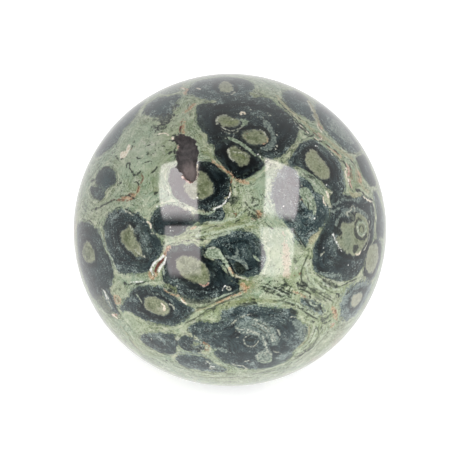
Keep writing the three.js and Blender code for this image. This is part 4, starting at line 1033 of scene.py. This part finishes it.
def core_in(outline, middle, size):
    """A core's outline: the eye's own, smaller, a little aside and roughened."""
    first, second = plane_at(middle)
    shift = (first * rng.uniform(-1, 1) + second * rng.uniform(-1, 1)) * size * 0.12 / BALL
    share = rng.uniform(0.36, 0.5)
    core = middle + shift + (outline - middle) * share
    core += np.array([[rng.gauss(0, 0.008) for axis in range(3)] for point in core]) * share
    return core


eyes = [(pale, on_ball(outline)) for pale, outline in EYES]
cores = [(pale, on_ball(outline)) for pale, outline in CORES]
taken = np.full(GRID_SIZE, -REACH)
for pale, outline in eyes:
    taken = np.maximum(taken, depth_inside(grid, outline, 2))
for size in EYE_SIZES:
    for attempt in range(TRIES):
        middle = any_direction()
        if middle @ camera_axis > math.cos(photographed_to + size * 1.25 / BALL):
            continue
        if taken[(grid @ middle).argmax()] > -min(size * 0.75, REACH - 0.1):
            continue
        outline = lobed_outline(middle, size)
        place = depth_inside(grid, outline, 2)
        if taken[place > -EYE_GAP].max(initial=-REACH) > -EYE_GAP:
            continue
        taken = np.maximum(taken, place)
        eyes.append((rng.uniform(0.05, 0.75), outline))
        if size > SMALLEST_WITH_CORE and rng.random() < SHARE_WITH_CORE:
            core = core_in(outline, middle, size)
            cores.append((rng.uniform(0.2, 0.8), unit_rows(core)))
        break

# Veins on those sides, each along a stretch of an eye's edge: kind and half width of what may come
UNSEEN_VEINS = 26
SHARE_WITHOUT_VEIN = 0.45
VEIN_KINDS = [
    ("rust", 0.16), ("peach", 0.2), ("tan", 0.24), ("line", 0.14), ("line", 0.12), ("cream", 0.14),
    ("pale", 0.16), ("olive", 0.3), ("ink", 0.2),
]
stroke_lines = []
for pale, outline in eyes[len(EYES):]:
    if len(stroke_lines) == UNSEEN_VEINS or rng.random() < SHARE_WITHOUT_VEIN:
        continue
    middle = middle_of(outline)
    run = np.roll(outline, rng.randrange(OUTLINE_POINTS), 0)[:rng.randint(4, 8)]
    run = middle + (run - middle) * rng.uniform(1.04, 1.12)
    kind, half = rng.choice(VEIN_KINDS)
    stroke_lines.append((kind, half, curved(unit_rows(run), closed=False, steps=8)))

# The lines of the photographed side; a spot is a line of no length
for kind, by_width in STROKES.items():
    for half, lines in by_width.items():
        stroke_lines += [(kind, half, curved(on_ball(line), closed=False, steps=8)) for line in lines]
for kind, spots in SPOTS.items():
    for right, up, half in spots:
        stroke_lines.append((kind, half, on_ball([(right, up)] * 2)))
shape_outlines = [(kind, on_ball(outline)) for kind, outlines in SHAPES.items() for outline in outlines]
hollow_outline = on_ball(HOLLOW)

# The mesh: six square patches on the ball, each by the ways out, along and up
CELLS = 70  # along each side of a patch, before it is cut finer
patch_axes = np.array([
    ((1, 0, 0), (0, 1, 0), (0, 0, 1)), ((-1, 0, 0), (0, -1, 0), (0, 0, 1)),
    ((0, 1, 0), (-1, 0, 0), (0, 0, 1)), ((0, -1, 0), (1, 0, 0), (0, 0, 1)),
    ((0, 0, 1), (1, 0, 0), (0, 1, 0)), ((0, 0, -1), (1, 0, 0), (0, -1, 0)),
], float)
steps = np.tan(np.linspace(-math.pi / 4, math.pi / 4, CELLS + 1))
row, column = np.meshgrid(np.arange(CELLS), np.arange(CELLS), indexing="ij")
dirs, tris = [], []
for number, (out, along, upward) in enumerate(patch_axes):
    points = out + steps[None, :, None] * along + steps[:, None, None] * upward
    dirs.append(unit_rows(points.reshape(-1, 3)))
    corner = (row * (CELLS + 1) + column).ravel() + number * (CELLS + 1) ** 2
    tris.append(np.stack([corner, corner + 1, corner + CELLS + 2], 1))
    tris.append(np.stack([corner, corner + CELLS + 2, corner + CELLS + 1], 1))
patch_of = np.repeat(np.arange(len(patch_axes)), CELLS * CELLS * 2)
dirs = np.concatenate(dirs)
first_seen, merged = np.unique(np.round(dirs, 6), axis=0, return_index=True, return_inverse=True)[1:]
dirs = dirs[first_seen]
tris = merged.ravel()[np.concatenate(tris)]


def cut_finer(dirs, tris, patch_of, chosen):
    """Cuts the chosen triangles in four, and their neighbours so that no crack opens."""
    sides = np.stack([tris, np.roll(tris, -1, 1)], 2)
    sides.sort(axis=2)
    flat = sides.reshape(-1, 2)
    code = flat[:, 0].astype(np.int64) * len(dirs) + flat[:, 1]
    codes, side_of = np.unique(code, return_inverse=True)
    side_of = side_of.reshape(-1, 3)
    split = np.zeros(len(codes), bool)
    split[side_of[chosen]] = True
    count = split[side_of].sum(1)
    while (count == 2).any():
        split[side_of[count == 2]] = True
        count = split[side_of].sum(1)
    new_index = np.full(len(codes), -1)
    new_index[split] = len(dirs) + np.arange(split.sum())
    halves = unit_rows(dirs[codes[split] // len(dirs)] + dirs[codes[split] % len(dirs)])
    whole = count == 3
    a, b, c = tris[whole].T
    ab, bc, ca = new_index[side_of[whole]].T
    made = [tris[count == 0]]
    made += [np.stack(three, 1) for three in ((a, ab, ca), (ab, b, bc), (ca, bc, c), (ab, bc, ca))]
    owners = [patch_of[count == 0]] + [patch_of[whole]] * 4
    for turn in range(3):
        one = (count == 1) & split[side_of[:, turn]]
        a, b, c = (tris[one][:, (turn + k) % 3] for k in range(3))
        m = new_index[side_of[one][:, turn]]
        made += [np.stack([a, m, c], 1), np.stack([m, b, c], 1)]
        owners += [patch_of[one]] * 2
    return np.concatenate([dirs, halves]), np.concatenate(made), np.concatenate(owners)


def tree_of(points):
    """A search tree over the points."""
    tree = kdtree.KDTree(len(points))
    for number, point in enumerate(points):
        tree.insert(point, number)
    tree.balance()
    return tree


def nearness(tree, points):
    """Distance in mm of each place from the nearest point in the tree."""
    return np.array([tree.find(point)[2] for point in points]) * BALL


# It is cut finer in three rounds, so many mm from the lines and from the hollow's edge, in the first two
# all over the hollow, and never on the far back
FAR_BACK = -0.3  # cosine of the angle from the middle of all lines
lines = [line for kind, half, line in stroke_lines]
lines += [curved(outline, closed=True, steps=5) for kind, outline in shape_outlines]
fine = np.concatenate(lines)
fine_tree = tree_of(fine)
edge_tree = tree_of(curved(hollow_outline, closed=True, steps=12))
for near_line, near_edge, whole_hollow in [(0.7, 1.4, True), (0.4, 0.9, True), (0, 0.45, False)]:
    middles = dirs[tris].mean(1)
    nearer = np.nonzero(middles @ middle_of(fine) > FAR_BACK)[0]
    chosen = np.zeros(len(tris), bool)
    chosen[nearer] = nearness(fine_tree, middles[nearer]) < near_line
    chosen[nearer] |= nearness(edge_tree, middles[nearer]) < near_edge
    if whole_hollow:
        chosen |= depth_inside(middles, hollow_outline) > 0
    dirs, tris, patch_of = cut_finer(dirs, tris, patch_of, chosen)


def deepest(outlines, tone):
    """How deep in any outline each point lies, how deep in the next best, and how pale the best one is."""
    best, next_best = np.full((2, len(dirs)), -REACH)
    for pale, outline in outlines:
        here = depth_inside(dirs, outline)
        tone = np.where(here > best, pale, tone)
        next_best = np.maximum(next_best, np.minimum(best, here))
        best = np.maximum(best, here)
    return best, next_best, tone


# Where each point of the ball lies among the eyes, cores and lines
edge, second_edge, tone = deepest(eyes, np.zeros(len(dirs)))
core, _, core_tone = deepest(cores, np.full(len(dirs), 0.5))
strokes = {kind: np.full(len(dirs), -REACH) for kind in STROKES}
for kind, half, line in stroke_lines:
    middle = middle_of(line)
    flat_line = laid_flat(line, middle)
    reach = np.linalg.norm(flat_line, axis=1).max() + REACH
    near = np.nonzero(dirs @ middle > math.cos(reach / BALL))[0]
    gap = distance_to(laid_flat(dirs[near], middle), flat_line[:-1], flat_line[1:])
    strokes[kind][near] = np.maximum(strokes[kind][near], half - gap)
for kind, outline in shape_outlines:
    strokes[kind] = np.maximum(strokes[kind], depth_inside(dirs, outline))

# The hollow's edge is ragged, and the noise that makes it so reaches this many mm to either side
RAGGED_WITHIN = 0.9
hollow = depth_inside(dirs, hollow_outline)
for number in np.nonzero(abs(hollow) < RAGGED_WITHIN)[0]:
    place = Vector(dirs[number] * BALL)
    hollow[number] += noise.noise(place * 1.6) * 0.3 + noise.noise(place * 3.7) * 0.22

# Soft patches, bell-shaped: those read from the photo, then more by seed where it shows nothing
PATCH_REACH = 2.4  # half lengths, beyond which nothing of a patch is left to see
MORE_PATCHES = [("inky", 70), ("warm", 50), ("chalk", 40), ("mist", 60), ("olive", 40)]
PHOTOGRAPHED = 0.2  # cosine of the angle from the camera's axis, above which no more are laid
patches = {kind: np.zeros(len(dirs)) for kind in PATCHES}


def lay_patch(kind, middle, right_way, half_length, half_width, tilt, strength):
    """Raises a patch's field round a place, most at the middle, with its length tilted from right_way."""
    near = np.nonzero(dirs @ middle > math.cos(min(PATCH_REACH * half_length / BALL, 1.5)))[0]
    places = laid_flat(dirs[near], middle)
    first, second = plane_at(middle)
    start = math.atan2(right_way @ second, right_way @ first) + tilt
    along = places[:, 0] * math.cos(start) + places[:, 1] * math.sin(start)
    across = -places[:, 0] * math.sin(start) + places[:, 1] * math.cos(start)
    bump = strength * np.exp(-((along / half_length) ** 2 + (across / half_width) ** 2))
    patches[kind][near] = np.maximum(patches[kind][near], bump)


for kind, read_patches in PATCHES.items():
    for right, up, half_length, half_width, tilt, strength in read_patches:
        middle = on_ball([(right, up)])[0]
        lay_patch(kind, middle, right_axis, half_length, half_width, math.radians(tilt), strength)
for kind, count in MORE_PATCHES:
    for number in range(count):
        middle = any_direction()
        if middle @ camera_axis > PHOTOGRAPHED:
            continue
        half_length = rng.uniform(1.2, 4.0)
        half_width = half_length * rng.uniform(0.25, 0.7)
        turn = rng.uniform(0, math.pi)
        lay_patch(kind, middle, plane_at(middle)[0], half_length, half_width, turn, rng.uniform(0.6, 1.0))

# The hollow goes in; all the rest lies on the ball, with a small flat to rest on
HOLLOW_DEPTH = 1.15  # mm, before its bumps and streaks
WALL_WIDTH = 0.42  # mm, over which the edge falls to the floor
depth = np.zeros(len(dirs))
for number in np.nonzero(hollow > 0)[0]:
    place = Vector(dirs[number] * BALL)
    bumps = noise.noise(place * 0.9) * 0.28 + noise.noise(place * 2.7) * 0.13
    streak = noise.noise(Vector((place.dot(disc_right) * 2.6, place.dot(disc_up) * 0.5, 3))) * 0.16
    wall = min(1, hollow[number] / (WALL_WIDTH + 0.2 * noise.noise(place * 1.7)))
    wall = wall * wall * (3 - 2 * wall)
    depth[number] = wall * (HOLLOW_DEPTH + bumps + streak)
points = np.array(centre) * 1000 + dirs * (BALL - depth)[:, None]
points[:, 2] = np.maximum(points[:, 2], 0)

stone_mesh = bpy.data.meshes.new("jasper")
stone_mesh.vertices.add(len(points))
stone_mesh.vertices.foreach_set("co", (points / 1000).astype(np.float32).ravel())
stone_mesh.loops.add(len(tris) * 3)
stone_mesh.loops.foreach_set("vertex_index", tris.astype(np.int32).ravel())
stone_mesh.polygons.add(len(tris))
stone_mesh.polygons.foreach_set("loop_start", np.arange(0, len(tris) * 3, 3, dtype=np.int32))
stone_mesh.polygons.foreach_set("loop_total", np.full(len(tris), 3, np.int32))
stone_mesh.update(calc_edges=True)
stone_mesh.validate()
for name, values in [
    ("edge", edge), ("second", second_edge), ("tone", tone), ("core", core), ("core tone", core_tone),
    ("hollow", hollow),
    *strokes.items(),
    *[(kind + " patch", values) for kind, values in patches.items()],
]:
    attribute = stone_mesh.attributes.new(name, "FLOAT", "POINT")
    attribute.data.foreach_set("value", values.astype(np.float32))

# Flat map for baking: each of the six patches has its own square, three across and two up
MARGIN = 0.006
uv = stone_mesh.uv_layers.new(name="OFBake")
axes = patch_axes[patch_of]
ahead, along, upward = (np.einsum("tcd,td->tc", dirs[tris], axes[:, way]) for way in range(3))
sideways = np.arctan2(along, ahead) / (math.pi / 2) + 0.5
upwards = np.arctan2(upward, ahead) / (math.pi / 2) + 0.5
u = ((patch_of % 3)[:, None] + MARGIN * 3 + sideways * (1 - MARGIN * 6)) / 3
v = ((patch_of // 3)[:, None] + MARGIN * 2 + upwards * (1 - MARGIN * 4)) / 2
uv.data.foreach_set("uv", np.stack([u, v], 2).astype(np.float32).ravel())

# Polished all over but in the hollow and on the rest spot: elsewhere the surface points straight out
stone_mesh.polygons.foreach_set("use_smooth", np.ones(len(tris), bool))
stone_mesh.update()
normals = np.zeros(len(points) * 3, np.float32)
stone_mesh.vertices.foreach_get("normal", normals)
normals = normals.reshape(-1, 3)
polished = (hollow <= 0) & (points[:, 2] > 0)
normals[polished] = dirs[polished]
stone_mesh.normals_split_custom_set_from_vertices(normals)

stone = put_in_scene("jasper_stone", stone_mesh)

# The stone's colours
# All are painted by one node material from the fields above and from noise.
material = bpy.data.materials.new("kambaba jasper")
material.use_nodes = True
stone_tree = material.node_tree
stone_mesh.materials.append(material)


def maths(operation, *values):
    """A sum on values, each a number or an output."""
    return node_of(stone_tree, "Math", enumerate(values), operation=operation)[0]


def add(a, b):
    """Both together."""
    return maths("ADD", a, b)


def times(a, b):
    """One times the other."""
    return maths("MULTIPLY", a, b)


def centred(value, much):
    """Noise round 0, up to half of much either way."""
    return times(add(value, -0.5), much)


def rise(value, low, high):
    """0 below low, 1 above high, smooth between; falls instead where low is above high."""
    at_ends = (0.0, 1.0) if low < high else (1.0, 0.0)
    limits = (min(low, high), max(low, high))
    return ranged(stone_tree, value, *limits, *at_ends, interpolation_type="SMOOTHSTEP")


def band(value, low, high, soft):
    """1 between low and high, 0 outside."""
    return times(rise(value, low - soft, low + soft), rise(value, high + soft, high - soft))


LIGHT_FACTOR = 0.6  # the stone's own colour against how it looks under this light


def own_colour(shade):
    """A colour as it looks in the photo, 0 to 255, as the stone's own; an output stays as it is."""
    if isinstance(shade, bpy.types.NodeSocket):
        return shade
    values = []
    for value in shade:
        share = value / 255
        linear = share / 12.92 if share <= 0.04045 else ((share + 0.055) / 1.055) ** 2.4
        values.append(linear * LIGHT_FACTOR)
    return tuple(values)


def mixed(share, a, b):
    """The first colour at share 0, the second at share 1."""
    return node_of(stone_tree, "Mix", {0: share, 6: own_colour(a), 7: own_colour(b)}, data_type="RGBA")[2]


def painted(base, layers):
    """A base with layers on it, one over the other: where each shows, how strong it is, its colour."""
    for where, strength, shade in layers:
        base = mixed(times(where, strength), base, shade)
    return base


def field(name):
    """A value that the mesh carries."""
    return node_of(stone_tree, "Attribute", attribute_name=name)["Fac"]


object_place = node_of(stone_tree, "TexCoord")["Object"]
place_mm = node_of(stone_tree, "VectorMath", {0: object_place, "Scale": 1000}, operation="SCALE")[0]


def cloud(scale, detail, rough, shift, layer=None, warp=0.0):
    """Noise from 0 to 1 with features of about 1/scale mm; layer makes it follow a field."""
    inputs = {"Vector": place_mm, "W": shift if layer is None else add(layer, shift), "Scale": scale}
    inputs |= {"Detail": detail, "Roughness": rough, "Distortion": warp}
    return node_of(stone_tree, "TexNoise", inputs, noise_dimensions="4D")[0]


raw_edge = field("edge")
second = field("second")
raw_core = field("core")
tone_here = field("tone")
core_tone_here = field("core tone")
inside = field("hollow")
inky = field("inky patch")
warm = field("warm patch")
chalk = field("chalk patch")
olive = field("olive patch")
mist = field("mist patch")
calm_and_reflection_damped = field("calm_and_reflection_damped patch")
cool = field("cool patch")
leaf = field("leaf patch")
ashen = field("ashen patch")
# Less lively in calm patches, also where the softboxes mirror: painted wash-out from the reflections
lively = maths("MULTIPLY_ADD", calm_and_reflection_damped, -0.85, 1.0)
slow = cloud(0.09, 3, 0.5, 20.0)
medium = cloud(0.32, 4, 0.55, 31.0, warp=0.8)
small = cloud(1.1, 3, 0.6, 37.0, warp=0.5)
grain = cloud(2.5, 3, 0.7, 44.0)
fine_grain = cloud(5.5, 2, 0.6, 47.0)
streaks = cloud(0.4, 4, 0.6, 7.7, layer=times(raw_edge, 3.4), warp=0.5)
dashes = cloud(0.9, 3, 0.65, 3.3, layer=times(raw_edge, 3.2), warp=0.6)

# The outlines of eyes and cores as they are drawn, wavy and frayed; eyes that touch grow together
fuzz = maths("MULTIPLY_ADD", tone_here, 2.2, 0.3)
frayed = times(add(centred(grain, 1.2), centred(small, 0.8)), fuzz)
wobble = add(centred(cloud(0.4, 2, 0.5, 1.3), 1.1), centred(small, 0.7))
grown = times(rise(second, -0.6, -1.6), 0.3)
eye = add(add(raw_edge, grown), add(wobble, frayed))
core_wobble = add(centred(grain, 0.9), centred(small, 0.5))
core_place = add(raw_core, add(centred(cloud(0.9, 2, 0.5, 9.2), 1.1), core_wobble))

# Ground: sage green, marbled, streaked along the eyes, with dark and rusty threads
busy = maths("MULTIPLY_ADD", rise(cloud(0.3, 3, 0.5, 25.0, warp=0.6), 0.44, 0.56), 0.8, 0.2)
busy = times(busy, lively)
threads = cloud(0.7, 3, 0.55, 87.0, layer=times(raw_edge, 0.8), warp=0.8)
seam = times(rise(second, -2.2, -0.8), rise(raw_edge, -2.0, -0.4))
chalky = mixed(rise(small, 0.42, 0.58), (184, 190, 166), (208, 208, 190))
darkening = add(times(inky, 0.16), times(seam, 0.03))
dark_dashes = rise(maths("SUBTRACT", dashes, darkening), 0.40, 0.35)
dark_grain = rise(maths("SUBTRACT", grain, darkening), 0.39, 0.33)
line_cloud = rise(cloud(0.5, 2, 0.5, 71.0), 0.46, 0.56)
ground = mixed(rise(slow, 0.43, 0.57), (152, 166, 128), (144, 166, 140))
ground = painted(ground, [
    (rise(medium, 0.52, 0.61), times(lively, 0.6), (184, 192, 162)),
    (rise(medium, 0.48, 0.38), times(lively, 0.55), (126, 140, 98)),
    (leaf, 0.7, (168, 192, 160)),
    (ashen, 0.7, (152, 155, 141)),
    (olive, 0.75, (122, 134, 84)),
    (rise(streaks, 0.52, 0.6), times(lively, 0.5), (194, 202, 174)),
    (rise(streaks, 0.48, 0.4), times(lively, 0.5), (106, 120, 84)),
    (rise(small, 0.54, 0.62), times(busy, 0.6), (196, 206, 182)),
    (rise(small, 0.46, 0.38), times(busy, 0.55), (102, 118, 84)),
    (band(threads, 0.492, 0.504, 0.007), times(busy, 0.7), (208, 214, 194)),
    (band(threads, 0.542, 0.552, 0.006), times(busy, 0.55), (82, 94, 68)),
    (times(seam, rise(dashes, 0.48, 0.58)), 0.5, (204, 200, 172)),
    (warm, times(rise(small, 0.42, 0.56), 0.7), (188, 156, 126)),
    (times(warm, rise(grain, 0.52, 0.6)), 0.7, (140, 92, 68)),
    (rise(dashes, 0.58, 0.65), times(lively, 0.6), (212, 214, 192)),
    (rise(grain, 0.56, 0.64), times(busy, 0.6), (212, 218, 196)),
    (rise(fine_grain, 0.54, 0.64), times(busy, 0.5), (208, 214, 190)),
    (rise(fine_grain, 0.46, 0.36), times(busy, 0.45), (84, 98, 70)),
    (rise(fine_grain, 0.61, 0.66), times(lively, 0.6), (220, 224, 206)),
    (rise(fine_grain, 0.38, 0.33), times(lively, 0.6), (66, 78, 56)),
    (chalk, 0.75, chalky),
    (dark_dashes, 0.85, (58, 68, 54)),
    (dark_grain, 0.9, (44, 54, 44)),
    (band(eye, -0.75, -0.45, 0.12), times(line_cloud, 0.6), (204, 206, 180)),
    (band(eye, -0.4, -0.22, 0.08), times(rise(line_cloud, 0.9, 0.1), 0.7), (56, 66, 48)),
    (band(eye, -1.35, -1.15, 0.12), times(line_cloud, 0.5), (92, 102, 74)),
])

# Eyes: near-black teal, layered, finely speckled, mossy at the edge, darkest round the core
rings = cloud(0.3, 3, 0.5, 12.0, layer=times(raw_edge, 3.0))
layers = cloud(0.5, 2, 0.5, 13.0, layer=times(raw_edge, 5.5), warp=0.3)
layer_strength = maths("MULTIPLY_ADD", tone_here, 0.3, times(mist, 0.3))
rim_zone = rise(raw_edge, 1.5, 0.1)
moss = times(add(times(rim_zone, 0.5), mist), rise(add(small, centred(grain, 0.5)), 0.46, 0.6))
clusters = cloud(0.55, 3, 0.5, 27.0, warp=0.5)
speckled = add(centred(clusters, 0.62), add(centred(tone_here, 0.12), times(mist, 0.1)))
speckled = add(add(times(rim_zone, 0.03), speckled), centred(layers, 0.22))
# Fewer specks in calm patches, also where the softboxes mirror: painted wash-out from the reflections
speckled = maths("SUBTRACT", speckled, times(calm_and_reflection_damped, 0.14))
shadowed = maths("MULTIPLY_ADD", mist, -0.5, 0.75)
dark = painted(mixed(tone_here, (12, 18, 20), (51, 72, 75)), [
    (rise(rings, 0.5, 0.6), 0.45, (56, 70, 73)),
    (rise(medium, 0.5, 0.6), 0.25, (60, 74, 77)),
    (rise(rings, 0.48, 0.39), 0.7, (12, 17, 19)),
    (rise(layers, 0.52, 0.6), layer_strength, (92, 106, 108)),
    (rise(layers, 0.48, 0.4), layer_strength, (14, 19, 21)),
    # Darker eyes in calm patches, also where the softboxes mirror: painted to tone down the reflections
    (calm_and_reflection_damped, 0.35, (14, 20, 22)),
    (cool, 0.65, (46, 80, 84)),
    (mist, 0.4, (80, 92, 92)),
    (maths("MINIMUM", times(moss, 0.8), 0.8), 1.0, (92, 108, 98)),
    (rise(add(grain, speckled), 0.57, 0.66), 0.6, (92, 108, 106)),
    (rise(add(fine_grain, speckled), 0.59, 0.68), 0.75, (160, 174, 168)),
    (rise(grain, 0.45, 0.36), 0.75, (9, 13, 14)),
    (band(core_place, -0.9, -0.2, 0.35), shadowed, (12, 15, 16)),
])

# Cores: olive green, mottled, paler towards a thin broken rim
core_cloud = cloud(0.7, 4, 0.6, 61.0, warp=0.8)
core_pale = rise(add(core_cloud, centred(core_tone_here, 0.24)), 0.38, 0.62)
core_colour = painted(mixed(core_pale, (92, 102, 70), (148, 154, 124)), [
    (rise(core_tone_here, 0.75, 1.0), 1.0, (176, 176, 158)),
    (rise(add(raw_core, centred(core_cloud, 4.0)), 0.8, 1.7), 0.2, (98, 110, 74)),
    (rise(add(raw_core, centred(core_cloud, 2.0)), 0.9, 0.2), times(core_tone_here, 0.6), (168, 168, 144)),
    (chalk, rise(small, 0.42, 0.56), (196, 194, 172)),
    (rise(add(grain, centred(core_tone_here, 0.06)), 0.54, 0.63), 0.45, (190, 194, 168)),
    (leaf, 0.6, (136, 150, 132)),
    (rise(grain, 0.46, 0.36), 0.45, (60, 68, 50)),
    (rise(fine_grain, 0.47, 0.38), 0.3, (66, 74, 56)),
    (times(band(core_place, -0.05, 0.22, 0.12), rise(small, 0.42, 0.56)), 0.35, (186, 188, 166)),
])

# The hollow: unpolished, grey brown, dark at the top with painted shade and paler at the foot with painted
# light, as on a lit lower wall
hollow_colour_with_painted_light = mixed(rise(cloud(1.2, 4, 0.6, 90.0), 0.35, 0.65), (36, 35, 35), (66, 62, 61))
hollow_colour_with_painted_light = painted(hollow_colour_with_painted_light, [
    # The chalk patch at the hollow's foot makes it paler: painted light on its lower wall
    (rise(add(chalk, centred(grain, 0.8)), 0.1, 0.8), 0.85, (112, 101, 98)),
])
body = mixed(rise(eye, -0.2, 0.22), ground, mixed(rise(core_place, -0.15, 0.4), dark, core_colour))
body = mixed(rise(inside, -0.02, 0.08), body, hollow_colour_with_painted_light)

# What is drawn over them, first what is broad and soft, then what is thin: kind, strength, how rough and
# how broken its edge is, its darker and its lighter colour
jitter = add(centred(small, 1.6), add(centred(grain, 1.8), centred(fine_grain, 1.0)))
gaps = rise(cloud(1.5, 2, 0.5, 83.0), 0.49, 0.43)
lighter = rise(add(grain, centred(fine_grain, 0.5)), 0.43, 0.59)
for kind, strength, rough, broken, darker_shade, lighter_shade in [
    ("sage", 0.9, 0.3, 0.0, (116, 132, 108), (174, 187, 164)),
    ("haze", 0.8, 0.5, 0.1, (88, 102, 99), (150, 162, 150)),
    ("tan", 0.7, 0.6, 0.1, (146, 140, 106), (192, 186, 152)),
    ("dusk", 0.8, 0.8, 0.1, (48, 56, 48), (116, 124, 108)),
    ("olive", 0.55, 1.0, 0.0, (104, 114, 70), (142, 150, 104)),
    ("mint", 0.7, 0.5, 0.0, (166, 184, 158), (204, 212, 190)),
    ("teal", 0.7, 0.7, 0.0, (88, 103, 98), (142, 155, 146)),
    ("blush", 0.45, 1.2, 0.0, (188, 152, 136), (216, 192, 176)),
    ("peach", 0.7, 0.7, 0.1, (168, 124, 88), (214, 184, 152)),
    ("pink", 0.85, 0.4, 0.1, (168, 122, 108), (216, 186, 168)),
    ("pale", 0.8, 0.3, 0.15, (150, 156, 138), (208, 208, 192)),
    ("cream", 0.95, 0.2, 0.0, (226, 210, 184), (255, 248, 232)),
    ("rust", 0.85, 0.35, 0.2, (84, 56, 42), (146, 104, 80)),
    ("ink", 0.92, 0.35, 0.2, (24, 30, 27), (50, 58, 50)),
    ("line", 0.85, 0.3, 0.04, (34, 40, 34), (78, 86, 72)),
    ("blood", 0.95, 0.25, 0.0, (80, 38, 34), (122, 62, 54)),
    ("white", 0.95, 0.25, 0.1, (222, 222, 214), (255, 255, 250)),
]:
    place = maths("SUBTRACT", add(field(kind), times(jitter, rough)), times(gaps, broken))
    shade = mixed(lighter, darker_shade, lighter_shade)
    body = painted(body, [(rise(place, -0.13, 0.07), strength, shade)])

# The finish: polished, and dull in the hollow
POLISHED_ROUGHNESS = 0.08
ADDED_IN_HOLLOW = 0.75
roughness = maths("MULTIPLY_ADD", rise(inside, -0.02, 0.05), ADDED_IN_HOLLOW, POLISHED_ROUGHNESS)
shader = stone_tree.nodes["Principled BSDF"]
shader.inputs["IOR"].default_value = 1.54
stone_tree.links.new(roughness, shader.inputs["Roughness"])
stone_tree.links.new(body, shader.inputs["Base Color"])

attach(stone, "root")
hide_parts("jasper_ball")
